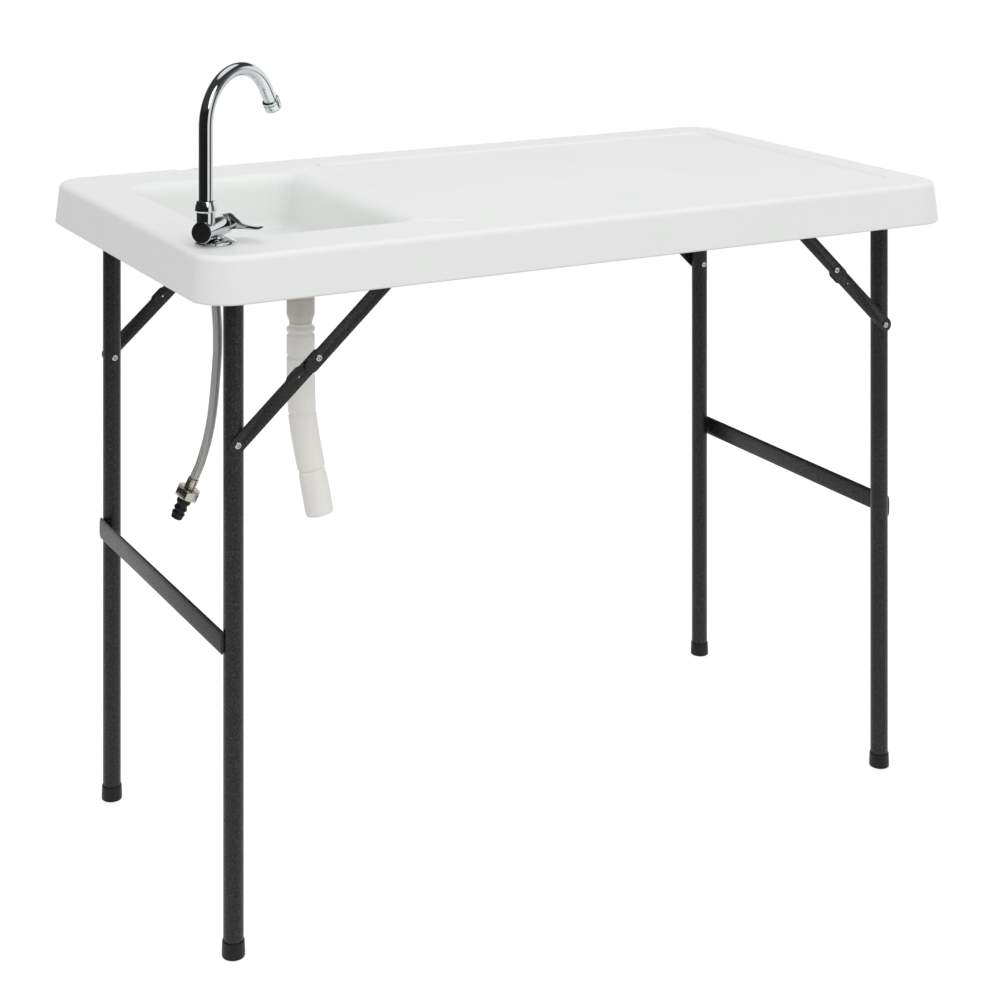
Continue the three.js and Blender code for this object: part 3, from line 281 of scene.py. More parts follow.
class Workpiece:
    """One mesh piece: a primitive shaped in edit mode and finished with applied modifiers."""

    def __init__(self, obj: bpy.types.Object) -> None:
        """Takes over a mesh object."""
        self.obj = obj

    @classmethod
    def taken(cls, name: str) -> "Workpiece":
        """Takes over the primitive just added, with its place in its mesh."""
        obj = bpy.context.object
        obj.name = name
        obj.data.name = name
        bpy.ops.object.transform_apply(location=True, rotation=True, scale=True)
        return cls(obj)

    @classmethod
    def cylinder(
        cls, name: str, diameter: float, bottom: float, top: float, sides: int = ROUND_SIDES
    ) -> "Workpiece":
        """Starts an upright cylinder on the Z axis."""
        select_only()
        bpy.ops.mesh.primitive_cylinder_add(
            vertices=sides, radius=diameter / 2, depth=top - bottom, location=(0, 0, (bottom + top) / 2)
        )
        return cls.taken(name)

    @classmethod
    def block(cls, name: str, low: Triple, high: Triple) -> "Workpiece":
        """Starts a block from its lowest to its highest corner."""
        select_only()
        middle = [(a + b) / 2 for a, b in zip(low, high)]
        bpy.ops.mesh.primitive_cube_add(size=1, location=middle)
        bpy.context.object.scale = [b - a for a, b in zip(low, high)]
        return cls.taken(name)

    @classmethod
    def line(cls, name: str, points: Sequence[Triple]) -> "Workpiece":
        """Draws a chain of edges by extruding one vertex from place to place."""
        select_only()
        bpy.ops.mesh.primitive_plane_add(size=MM)
        piece = cls.taken(name)
        with piece.editing("VERT", "SELECT"):
            bpy.ops.mesh.merge(type="CENTER")
            bpy.ops.transform.translate(value=points[0])
            for before, after in zip(points, points[1:]):
                step = Vector(after) - Vector(before)
                bpy.ops.mesh.extrude_vertices_move(TRANSFORM_OT_translate={"value": step})
        return piece

    @classmethod
    def turned(cls, name: str, profile: Sequence[Pair], sides: int = ROUND_SIDES) -> "Workpiece":
        """Turns a profile round the Z axis.

        Args:
            name: The piece's name.
            profile: Radius and height of each point. It starts and ends on the axis, or returns to its start.
            sides: The number of steps round the axis.

        Returns:
            A closed workpiece.
        """
        piece = cls.line(name, [(radius, 0, height) for radius, height in profile])
        with piece.editing("VERT", "SELECT"):
            bpy.ops.mesh.spin(steps=sides, angle=2 * math.pi, center=(0, 0, 0), axis=(0, 0, 1))
        return piece.sealed()

    @classmethod
    def tube(cls, name: str, outside: Sequence[Pair], bore: float, sides: int = ROUND_SIDES) -> "Workpiece":
        """Turns a profile that has a straight bore of a given diameter through it."""
        radius = bore / 2
        ring = [(radius, outside[0][1]), *outside, (radius, outside[-1][1]), (radius, outside[0][1])]
        return cls.turned(name, ring, sides)

    @classmethod
    def plate(cls, name: str, outline: Sequence[Pair], thickness: float) -> "Workpiece":
        """Makes a flat plate in the XZ plane, centred on y = 0, from its closed outline."""
        piece = cls.line(name, [(across, -thickness / 2, up) for across, up in outline])
        with piece.editing("VERT", "SELECT"):
            bpy.ops.mesh.edge_face_add()
            bpy.ops.mesh.extrude_region_move(TRANSFORM_OT_translate={"value": (0, thickness, 0)})
        return piece.sealed()

    @classmethod
    def tray(
        cls, name: str, centre: float, size: Pair, radius: float, levels: Sequence[Pair], steps: int = 14
    ) -> "Workpiece":
        """Stacks rounded rectangles, each level set in from the outline.

        Args:
            name: The piece's name.
            centre: The middle along X.
            size: Length and width of the outline.
            radius: Corner radius of the outline.
            levels: Inset and height of each level, the insets never smaller than the one before.
            steps: The straight pieces of each corner.

        Returns:
            A closed workpiece.
        """
        first, height = levels[0]
        length, width = size[0] - 2 * first, size[1] - 2 * first
        select_only()
        bpy.ops.mesh.primitive_plane_add(size=1, location=(centre, 0, height))
        bpy.context.object.scale = (length, width, 1)
        piece = cls.taken(name)
        with piece.editing("VERT", "SELECT"):
            bpy.ops.mesh.bevel(offset=radius - first, segments=steps, affect="VERTICES", profile=0.5)
            bpy.ops.mesh.select_mode(type="FACE")
            bpy.ops.mesh.select_all(action="SELECT")
            bpy.ops.mesh.extrude_region_move(TRANSFORM_OT_translate={"value": (0, 0, 0)})
            for before, after in zip(levels, levels[1:]):
                bpy.ops.mesh.inset(
                    thickness=after[0] - before[0], depth=after[1] - before[1], use_even_offset=True
                )
        return piece.sealed()

    @contextmanager
    def editing(self, mode: str = "FACE", action: str = "DESELECT") -> Iterator[None]:
        """Opens edit mode with all or nothing selected, and closes it again."""
        select_only(self.obj)
        bpy.ops.object.mode_set(mode="EDIT")
        bpy.ops.mesh.select_mode(type=mode)
        bpy.ops.mesh.select_all(action=action)
        yield
        bpy.ops.object.mode_set(mode="OBJECT")

    def pick_faces(self, test: FaceTest) -> None:
        """Selects, in edit mode, the faces whose middle and normal pass a test."""
        mesh = bmesh.from_edit_mesh(self.obj.data)
        for face in mesh.faces:
            face.select_set(test(face.calc_center_median(), face.normal))
        bmesh.update_edit_mesh(self.obj.data)

    def sealed(self) -> "Workpiece":
        """Merges doubled points and turns every face outwards."""
        with self.editing("VERT", "SELECT"):
            bpy.ops.mesh.remove_doubles(threshold=MERGE)
            bpy.ops.mesh.normals_make_consistent(inside=False)
        return self

    def place(self, matrix: Matrix) -> "Workpiece":
        """Moves the mesh by a matrix and leaves the object at the origin."""
        select_only(self.obj)
        self.obj.matrix_basis = matrix
        bpy.ops.object.transform_apply(location=True, rotation=True, scale=True)
        return self.sealed() if matrix.determinant() < 0 else self

    def modify(self, kind: str, **settings: object) -> "Workpiece":
        """Adds a modifier with its settings and applies it."""
        modifier = self.obj.modifiers.new(kind.lower(), kind)
        for key, value in settings.items():
            setattr(modifier, key, value)
        select_only(self.obj)
        bpy.ops.object.modifier_apply(modifier=modifier.name)
        return self

    def combine(self, how: Joining, *others: "Workpiece") -> "Workpiece":
        """Cuts away, joins or keeps the shared part of other pieces, which are used up."""
        for other in others:
            self.modify("BOOLEAN", operation=how.value, solver="EXACT", object=other.obj)
            bpy.data.objects.remove(other.obj, do_unlink=True)
        return self

    def soften(self, width: float, segments: int = 2, angle: float = 35) -> "Workpiece":
        """Bevels every edge sharper than an angle in degrees."""
        return self.modify(
            "BEVEL", width=width, segments=segments, limit_method="ANGLE",
            angle_limit=math.radians(angle), use_clamp_overlap=True, miter_outer="MITER_ARC",
        )

    def smooth(self, angle: float = SMOOTH_ANGLE) -> "Workpiece":
        """Shades the piece smooth, with edges sharper than an angle kept."""
        select_only(self.obj)
        bpy.ops.object.shade_smooth_by_angle(angle=angle)
        return self

    def even(self) -> "Workpiece":
        """Weights the normals by face area, so that flat faces between soft edges look flat."""
        return self.modify("WEIGHTED_NORMAL", keep_sharp=True, weight=50)

    def copied(self, name: str, matrix: Matrix) -> "Workpiece":
        """Returns a copy with a mesh of its own, moved by a matrix."""
        select_only(self.obj)
        bpy.ops.object.duplicate(linked=False)
        copy = Workpiece(bpy.context.object)
        copy.obj.name = name
        copy.obj.data.name = name
        return copy.place(matrix)

    def discard(self) -> None:
        """Removes a piece that was only the pattern for its copies."""
        bpy.data.objects.remove(self.obj, do_unlink=True)


def hexagonal(name: str, flats: float, bottom: float, top: float, bore: float) -> Workpiece:
    """Makes a chamfered hexagonal nut with a bore, two of its flats facing along Y."""
    radius, chamfer_share, soft_edge = flats / math.sqrt(3), 0.6, 0.25 * MM
    chamfer = (radius - flats / 2) * chamfer_share
    nut = Workpiece.cylinder(name, 2 * radius, bottom, top, sides=6)
    nut.place(spun(30))
    corners = [
        (0, bottom), (flats / 2, bottom), (radius + chamfer / 4, bottom + chamfer),
        (radius + chamfer / 4, top - chamfer), (flats / 2, top), (0, top),
    ]
    nut.combine(Joining.KEEP, Workpiece.turned("chamfer", corners))
    nut.combine(Joining.CUT, Workpiece.cylinder("bore", bore, bottom - OVERRUN, top + OVERRUN))
    return nut.soften(soft_edge)


# Finishes


@dataclass(frozen=True)
class Finish:
    """A surface: what the real one is, and how its shader is set."""

    label: str
    slot: str
    colour: str
    shade: str  # the second colour of its pattern
    roughness: float
    metallic: float = 0.0
    grain: float = 2.0 * MM  # size of its pattern
    relief: float = 0.1  # strength of its bump
    depth: float = 0.2 * MM  # how deep the bump is at full strength

    def surface(
        self, tree: bpy.types.NodeTree, shader: bpy.types.Node, share: bpy.types.NodeSocket, gloss: Pair,
        height: bpy.types.NodeSocket,
    ) -> None:
        """Lays the second colour, an uneven gloss and the relief over a shader.

        Args:
            tree: The material's node tree.
            shader: The shader to link to.
            share: How much of the second colour shows, from 0 to 1.
            gloss: The roughness in the first colour and in the second.
            height: The relief's height, from 0 to 1.
        """
        tint = add_node(
            tree, "ShaderNodeMix", {"data_type": "RGBA", 6: linear(self.colour), 7: linear(self.shade)},
            {0: share},
        )
        rough = add_node(
            tree, "ShaderNodeMapRange", {"To Min": gloss[0], "To Max": gloss[1]}, {"Value": share}
        )
        bump = add_node(
            tree, "ShaderNodeBump", {"Strength": self.relief, "Distance": self.depth}, {"Height": height}
        )
        tree.links.new(tint.outputs[2], shader.inputs["Base Color"])
        tree.links.new(rough.outputs["Result"], shader.inputs["Roughness"])
        tree.links.new(bump.outputs["Normal"], shader.inputs["Normal"])

    def dress(self, tree: bpy.types.NodeTree, shader: bpy.types.Node) -> None:
        """Adds the finish's own pattern."""
        raise NotImplementedError

    def material(self) -> bpy.types.Material:
        """Returns the finish's material, made when it is first asked for."""
        known = bpy.data.materials.get(self.label)
        if known is not None:
            return known
        material = bpy.data.materials.new(self.label)
        material.use_nodes = True
        tree = material.node_tree
        shader = next(node for node in tree.nodes if node.type == "BSDF_PRINCIPLED")
        shader.inputs["Base Color"].default_value = linear(self.colour)
        shader.inputs["Metallic"].default_value = self.metallic
        shader.inputs["Roughness"].default_value = self.roughness
        material.diffuse_color = linear(self.colour)
        self.dress(tree, shader)
        return material


@dataclass(frozen=True)
class MouldedPlastic(Finish):
    """Moulded plastic: an even colour with a faint cloudiness and the fine pebble of the mould's wall."""

    cloud: float = 60.0 * MM  # size of the faint patches of colour
    streak: float = 1.0  # how far the patches are drawn out along the upright axis
    specular: float = 0.5
    spread: float = 0.06  # how much the gloss varies

    def dress(self, tree: bpy.types.NodeTree, shader: bpy.types.Node) -> None:
        """Adds patches of the second colour, uneven gloss and a pebbled surface."""
        shader.inputs["Specular IOR Level"].default_value = self.specular
        place = add_node(tree, "ShaderNodeTexCoord")
        drawn = add_node(
            tree, "ShaderNodeMapping", {"Scale": (1, 1, 1 / self.streak)}, {"Vector": place.outputs["Object"]}
        )
        cloud = add_node(
            tree, "ShaderNodeTexNoise", {"Scale": 1 / self.cloud, "Detail": 4.0, "Roughness": 0.6},
            {"Vector": drawn.outputs["Vector"]},
        )
        pebble = add_node(
            tree, "ShaderNodeTexVoronoi", {"feature": "SMOOTH_F1", "Scale": 1 / self.grain},
            {"Vector": place.outputs["Object"]},
        )
        gloss = (self.roughness - self.spread, self.roughness + self.spread)
        self.surface(tree, shader, cloud.outputs["Fac"], gloss, pebble.outputs["Distance"])


@dataclass(frozen=True)
class HammerPaint(Finish):
    """Hammertone powder coat on steel: dark dimples with lighter, glossier speckles between."""

    depth: float = 0.35 * MM
    specular: float = 0.28
    coat: float = 0.08
    coat_roughness: float = 0.2
    dull: float = 0.1  # how much rougher the dimples are
    bright: float = 0.08  # how much glossier the speckles are

    def dress(self, tree: bpy.types.NodeTree, shader: bpy.types.Node) -> None:
        """Adds the dimples, the speckle and a thin clear coat."""
        shader.inputs["Specular IOR Level"].default_value = self.specular
        shader.inputs["Coat Weight"].default_value = self.coat
        shader.inputs["Coat Roughness"].default_value = self.coat_roughness
        place = add_node(tree, "ShaderNodeTexCoord")
        stir = add_node(
            tree, "ShaderNodeTexNoise", {"Scale": 1 / (2.2 * self.grain), "Detail": 2.0},
            {"Vector": place.outputs["Object"]},
        )
        swirl = add_node(
            tree, "ShaderNodeVectorMath", {"operation": "MULTIPLY_ADD", 1: (self.grain,) * 3},
            {0: stir.outputs["Color"], 2: place.outputs["Object"]},
        )
        dimple = add_node(
            tree, "ShaderNodeTexVoronoi",
            {"feature": "SMOOTH_F1", "Scale": 1 / self.grain, "Smoothness": 0.6},
            {"Vector": swirl.outputs["Vector"]},
        )
        speckle = add_node(
            tree, "ShaderNodeTexNoise", {"Scale": 1 / (0.55 * self.grain), "Detail": 3.0, "Roughness": 0.7},
            {"Vector": place.outputs["Object"]},
        )
        share = add_node(
            tree, "ShaderNodeMapRange", {"From Min": 0.5, "From Max": 0.7}, {"Value": speckle.outputs["Fac"]}
        )
        gloss = (self.roughness + self.dull, self.roughness - self.bright)
        self.surface(tree, shader, share.outputs["Result"], gloss, dimple.outputs["Distance"])


@dataclass(frozen=True)
class PlatedMetal(Finish):
    """Plated metal: a bright coat that follows the slight waviness of what lies under it."""

    metallic: float = 1.0
    depth: float = 0.05 * MM
    spread: float = 0.03  # how much the gloss varies

    def dress(self, tree: bpy.types.NodeTree, shader: bpy.types.Node) -> None:
        """Adds uneven gloss, a second tone of the plating and its waviness."""
        place = add_node(tree, "ShaderNodeTexCoord")
        haze = add_node(
            tree, "ShaderNodeTexNoise", {"Scale": 1 / self.grain, "Detail": 5.0, "Roughness": 0.65},
            {"Vector": place.outputs["Object"]},
        )
        gloss = (self.roughness - self.spread, self.roughness + self.spread)
        self.surface(tree, shader, haze.outputs["Fac"], gloss, haze.outputs["Fac"])


@dataclass(frozen=True)
class WovenSteel(Finish):
    """Stainless steel braid: flat bundles of bright wire that pass over and under each other on the bias."""

    depth: float = 0.4 * MM
    bundles: int = 12  # bundles round the hose in each direction
    painted_shade_heights: Pair = (0.06, 0.42)  # heights of a bundle below which it takes the painted shade of the weave's hollows, and above which it is bright

    def dress(self, tree: bpy.types.NodeTree, shader: bpy.types.Node) -> None:
        """Adds the weave, with painted shade in its hollows, from the hose's own UV map: across is one turn,
        along is in hose circumferences.
        """
        turns = float(self.bundles)
        place = add_node(tree, "ShaderNodeTexCoord")
        split = add_node(tree, "ShaderNodeSeparateXYZ", links={"Vector": place.outputs["UV"]})
        crests, rows = [], []
        for lean in ("ADD", "SUBTRACT"):
            slant = add_node(
                tree, "ShaderNodeMath", {"operation": lean}, {0: split.outputs["X"], 1: split.outputs["Y"]}
            )
            count = add_node(
                tree, "ShaderNodeMath", {"operation": "MULTIPLY", 1: turns}, {0: slant.outputs[0]}
            )
            crests.append(add_node(
                tree, "ShaderNodeMath", {"operation": "PINGPONG", 1: 0.5}, {0: count.outputs[0]}
            ))
            rows.append(add_node(tree, "ShaderNodeMath", {"operation": "FLOOR"}, {0: count.outputs[0]}))
        sum_rows = add_node(
            tree, "ShaderNodeMath", {"operation": "ADD"}, {0: rows[0].outputs[0], 1: rows[1].outputs[0]}
        )
        over = add_node(tree, "ShaderNodeMath", {"operation": "PINGPONG", 1: 1.0}, {0: sum_rows.outputs[0]})
        height = add_node(
            tree, "ShaderNodeMix", {"data_type": "FLOAT"},
            {0: over.outputs[0], 2: crests[0].outputs[0], 3: crests[1].outputs[0]},
        )
        # painted shade: the low edges of each bundle, where it passes under the next, are darkened towards
        # the dark second colour
        tone = add_node(
            tree, "ShaderNodeMapRange", {"From Min": self.painted_shade_heights[0], "From Max": self.painted_shade_heights[1]},
            {"Value": height.outputs[0]},
        )
        tint = add_node(
            tree, "ShaderNodeMix", {"data_type": "RGBA", 6: linear(self.shade), 7: linear(self.colour)},
            {0: tone.outputs["Result"]},
        )
        tree.links.new(tint.outputs[2], shader.inputs["Base Color"])
        bump = add_node(
            tree, "ShaderNodeBump", {"Strength": self.relief, "Distance": self.depth},
            {"Height": height.outputs[0]},
        )
        tree.links.new(bump.outputs["Normal"], shader.inputs["Normal"])


# High-density polyethylene, blow moulded: soft sheen, and a pebble drawn coarser than the real 1 mm
POLYETHYLENE = MouldedPlastic(
    "blow moulded polyethylene", "moulded_top", "#E9EAE9", "#E4E6E4", 0.46, grain=3.5 * MM, relief=0.16,
    cloud=120 * MM, specular=0.42,
)
# Hammertone powder coat on steel tube: near black with a speckled, rippled gloss
HAMMERTONE = HammerPaint(
    "hammertone powder coat", "painted_steel", "#0D0E0F", "#4A4B4D", 0.32, grain=2.6 * MM, relief=0.7
)
# Zinc plated steel: a bright, slightly cloudy silver
ZINC = PlatedMetal(
    "zinc plated steel", "zinc_steel", "#C9CBCC", "#B1B3B4", 0.22, grain=1.2 * MM, relief=0.2, spread=0.06
)
# Bright chrome on brass: a mirror with the faint waviness of polished castings
CHROME = PlatedMetal(
    "bright chrome plate", "chrome_trim", "#DADDDF", "#D3D6D8", 0.055, grain=9 * MM, relief=0.05, spread=0.02
)
# Nickel plated brass: warmer and softer than the chrome
NICKEL = PlatedMetal(
    "nickel plated brass", "plated_brass", "#C2BEB4", "#AFAA9F", 0.24, grain=2 * MM, relief=0.15, spread=0.06
)
# Stainless steel braid over the supply hose, its bundles 3 mm wide; its dark second colour is painted shade
# in the hollows where bundles dip under each other
BRAID = WovenSteel(
    "stainless steel braid", "steel_braid", "#F2F2EE", "#141414", 0.26, metallic=0.6, relief=1.0
)
# Black polypropylene with a fine eroded mould texture
BLACK_PLASTIC = MouldedPlastic(
    "black polypropylene", "black_plastic", "#0B0B0C", "#141415", 0.46, grain=1.1 * MM, relief=0.12,
    cloud=12 * MM, specular=0.28,
)
# White polypropylene of the drain hose: matt, with faint streaks along the pull of the mould
HOSE_PLASTIC = MouldedPlastic(
    "white polypropylene hose", "hose_plastic", "#F5F4F0", "#EEECE6", 0.5, grain=1.6 * MM, relief=0.08,
    cloud=9 * MM, streak=7.0,
)
# Grey polypropylene of the tailpiece: a warm grey, slightly polished by the mould
GREY_PLASTIC = MouldedPlastic(
    "grey polypropylene", "grey_plastic", "#D8D3CD", "#CBC5BF", 0.44, grain=1.4 * MM, relief=0.08,
    cloud=20 * MM,
)
# Black rubber of the washers: dull and even
RUBBER = MouldedPlastic(
    "black rubber", "rubber_seal", "#262626", "#2F2F2E", 0.82, grain=0.9 * MM, relief=0.2, cloud=8 * MM,
    specular=0.3,
)


def hand_over(
    piece: Workpiece, finish: Finish, nodes: Sequence[str] = (), body: str = ""
) -> bpy.types.Object:
    """Dresses a finished piece, hangs it on its body and hides the nodes that it stands for.

    Args:
        piece: The finished workpiece.
        finish: Its surface.
        nodes: The frame's nodes that it replaces.
        body: The body that it rides on, where it isn't the nodes' own.

    Returns:
        The piece's object.
    """
    obj = piece.obj
    obj.data.materials.clear()
    obj.data.materials.append(finish.material())
    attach(obj, body or BODY_OF[nodes[0]])
    if nodes:
        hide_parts(*nodes)
    log.info("%s: %d faces, %s", obj.name, len(obj.data.polygons), finish.label)
    return obj


# Camera, floor and light


@dataclass
class Studio:
    """The camera of the photograph, a plain pale floor and soft light from all round."""

    camera_place: Triple = (-1.4594, -2.57233, 1.3872)
    camera_turn: float = -27.35
    lens: float = 74.12
    sensor: float = 36.0
    clip: Pair = (0.05, 200.0)
    shift: Pair = (0.0820, -0.6843)  # keeps the legs upright, as in the photograph
    floor_size: float = 5.0
    paper: str = "#C4C4C4"
    paper_seen: Pair = (0.34, 0.76)  # what the camera sees: the share that takes shadow, and its own glow
    sky: float = 0.75  # what the world gives to every surface from the sides
    zenith: float = 0.38  # how much more it gives from straight above
    key_place: Triple = (-0.4, -3.9, 3.6)
    key_size: float = 3.0
    key_power: float = 40.0
    key_aim: Triple = (0, 0, 0.6)
    ceiling_edge: Pair = (0.3, 0.42)  # heights between which the surround gives way to the ceiling
    softbox_place: Triple = (0.25, 0.2, 0.95)
    softbox_edge: Pair = (0.88, 0.93)
    softbox_levels: Pair = (0.05, 1.0)  # brightness of the ceiling, and of the softbox in it
    # Azimuth in degrees and brightness of what polished metal reflects at eye level: screens and flags
    surround: tuple[Pair, ...] = (
        (-180, 0.02), (-160, 0.015), (-83, 0.015), (-79, 1.0), (-51, 1.0), (-46, 0.1), (-14, 0.16),
        (-7, 1.0), (70, 0.95), (102, 0.4), (114, 0.03), (180, 0.02),
    )

    def set_camera(self) -> None:
        """Adds the camera and makes it the scene's own."""
        select_only()
        turn = (math.radians(90), 0, math.radians(self.camera_turn))
        bpy.ops.object.camera_add(location=self.camera_place, rotation=turn)
        camera = bpy.context.object
        camera.name = "camera"
        camera.data.lens = self.lens
        camera.data.sensor_width = self.sensor
        camera.data.shift_x, camera.data.shift_y = self.shift
        camera.data.clip_start, camera.data.clip_end = self.clip
        bpy.context.scene.camera = camera

    def lay_floor(self) -> None:
        """Lays a grey floor that looks white to the camera and to polished metal, and keeps the shadow."""
        select_only()
        bpy.ops.mesh.primitive_plane_add(size=self.floor_size, location=(0, 0, -0.5 * MM))
        floor = bpy.context.object
        floor.name = "studio_floor"
        material = bpy.data.materials.new("studio floor paper")
        material.use_nodes = True
        tree = material.node_tree
        tree.nodes.clear()
        path = add_node(tree, "ShaderNodeLightPath")
        seen = add_node(
            tree, "ShaderNodeMath", {"operation": "MAXIMUM"},
            {0: path.outputs["Is Camera Ray"], 1: path.outputs["Is Glossy Ray"]},
        )
        shadowed, glowing = self.paper_seen
        paper = add_node(tree, "ShaderNodeBsdfDiffuse", {"Color": linear(self.paper)})
        faint = add_node(tree, "ShaderNodeBsdfDiffuse", {"Color": (shadowed, shadowed, shadowed, 1)})
        glow = add_node(tree, "ShaderNodeEmission", {"Color": WHITE, "Strength": glowing})
        white = add_node(tree, "ShaderNodeAddShader", links={0: faint.outputs[0], 1: glow.outputs[0]})
        mix = add_node(
            tree, "ShaderNodeMixShader",
            links={0: seen.outputs[0], 1: paper.outputs[0], 2: white.outputs[0]},
        )
        add_node(tree, "ShaderNodeOutputMaterial", links={"Surface": mix.outputs[0]})
        floor.data.materials.append(material)

    def set_world(self) -> None:
        """Lights every surface evenly, and shows polished metal the studio's screens and flags."""
        world = bpy.data.worlds.new("studio")
        bpy.context.scene.world = world
        world.use_nodes = True
        tree = world.node_tree
        tree.nodes.clear()
        path = add_node(tree, "ShaderNodeLightPath")
        place = add_node(tree, "ShaderNodeTexCoord")
        split = add_node(tree, "ShaderNodeSeparateXYZ", links={"Vector": place.outputs["Generated"]})
        azimuth = add_node(
            tree, "ShaderNodeMath", {"operation": "ARCTAN2"}, {0: split.outputs["Y"], 1: split.outputs["X"]}
        )
        share = add_node(
            tree, "ShaderNodeMapRange", {"From Min": -math.pi, "From Max": math.pi},
            {"Value": azimuth.outputs[0]},
        )
        ramp = add_node(tree, "ShaderNodeValToRGB", links={"Fac": share.outputs["Result"]})
        stops = ramp.color_ramp.elements
        while len(stops) < len(self.surround):
            stops.new(0.5)
        for stop, (angle, level) in zip(stops, self.surround):
            stop.position = (angle + 180) / 360
            stop.color = (level, level, level, 1)
        low, high = self.ceiling_edge
        above = add_node(
            tree, "ShaderNodeMapRange",
            {"interpolation_type": "SMOOTHSTEP", "From Min": low, "From Max": high},
            {"Value": split.outputs["Z"]},
        )
        towards = Vector(self.softbox_place).normalized()
        softbox = add_node(
            tree, "ShaderNodeVectorMath", {"operation": "DOT_PRODUCT", 1: towards},
            {0: place.outputs["Generated"]},
        )
        low, high = self.softbox_edge
        dark, bright = self.softbox_levels
        ceiling = add_node(
            tree, "ShaderNodeMapRange",
            {
                "interpolation_type": "SMOOTHSTEP", "From Min": low, "From Max": high, "To Min": dark,
                "To Max": bright,
            },
            {"Value": softbox.outputs["Value"]},
        )
        room = add_node(
            tree, "ShaderNodeMix", {"data_type": "RGBA"},
            {0: above.outputs["Result"], 6: ramp.outputs["Color"], 7: ceiling.outputs["Result"]},
        )
        mirror = add_node(tree, "ShaderNodeBackground", {"Strength": 1.0}, {"Color": room.outputs[2]})
        rise = add_node(
            tree, "ShaderNodeMapRange", {"To Min": self.sky, "To Max": self.sky + self.zenith},
            {"Value": split.outputs["Z"]},
        )
        even = add_node(
            tree, "ShaderNodeBackground", {"Color": WHITE}, {"Strength": rise.outputs["Result"]}
        )
        backdrop = add_node(tree, "ShaderNodeBackground", {"Color": WHITE, "Strength": 1.0})
        direct = add_node(
            tree, "ShaderNodeMath", {"operation": "MAXIMUM"},
            {0: path.outputs["Is Camera Ray"], 1: path.outputs["Is Transmission Ray"]},
        )
        metal = add_node(
            tree, "ShaderNodeMixShader",
            links={0: path.outputs["Is Glossy Ray"], 1: even.outputs[0], 2: mirror.outputs[0]},
        )
        seen = add_node(
            tree, "ShaderNodeMixShader",
            links={0: direct.outputs[0], 1: metal.outputs[0], 2: backdrop.outputs[0]},
        )
        add_node(tree, "ShaderNodeOutputWorld", links={"Surface": seen.outputs[0]})

    def set_key_light(self) -> None:
        """Hangs one large soft lamp high at the right of the camera."""
        select_only()
        aim = (Vector(self.key_aim) - Vector(self.key_place)).to_track_quat("-Z", "Y").to_euler()
        bpy.ops.object.light_add(type="AREA", location=self.key_place, rotation=aim)
        lamp = bpy.context.object
        lamp.name = "key_light"
        lamp.data.shape = "DISK"
        lamp.data.size = self.key_size
        lamp.data.energy = self.key_power

    def build(self) -> None:
        """Sets up the whole studio."""
        self.set_camera()
        self.lay_floor()
        self.set_world()
        self.set_key_light()
        bpy.context.scene.view_settings.view_transform = "Standard"
        log.info("studio: camera, floor, world and key light")


# Hoses


def mesh_from_rings(
    name: str, rings: Sequence[Sequence[Vector]], marks: Sequence[float], closed: bool = False
) -> Workpiece:
    """Skins rings of equal count, with a UV map: across is one turn, along is the rings' own marks.

    Args:
        name: The piece's name.
        rings: The rings, in order.
        marks: Where each ring lies along, in the map's own units.
        closed: Whether the last ring joins the first; otherwise both ends are capped.

    Returns:
        A closed workpiece.
    """
    mesh = bmesh.new()
    layer = mesh.loops.layers.uv.new("along")
    corners = [[mesh.verts.new(place) for place in ring] for ring in rings]
    count = len(rings[0])
    spans = len(rings) if closed else len(rings) - 1
    for index in range(spans):
        after = (index + 1) % len(rings)
        for side in range(count):
            beside = (side + 1) % count
            face = mesh.faces.new((
                corners[index][side], corners[index][beside], corners[after][beside], corners[after][side],
            ))
            mapped = (
                (side / count, marks[index]), ((side + 1) / count, marks[index]),
                ((side + 1) / count, marks[after]), (side / count, marks[after]),
            )
            for loop, place in zip(face.loops, mapped):
                loop[layer].uv = place
    if not closed:
        mesh.faces.new(corners[0])
        mesh.faces.new(corners[-1])
    bmesh.ops.recalc_face_normals(mesh, faces=mesh.faces)
    data = bpy.data.meshes.new(name)
    mesh.to_mesh(data)
    mesh.free()
    obj = bpy.data.objects.new(name, data)
    bpy.context.collection.objects.link(obj)
    return Workpiece(obj)


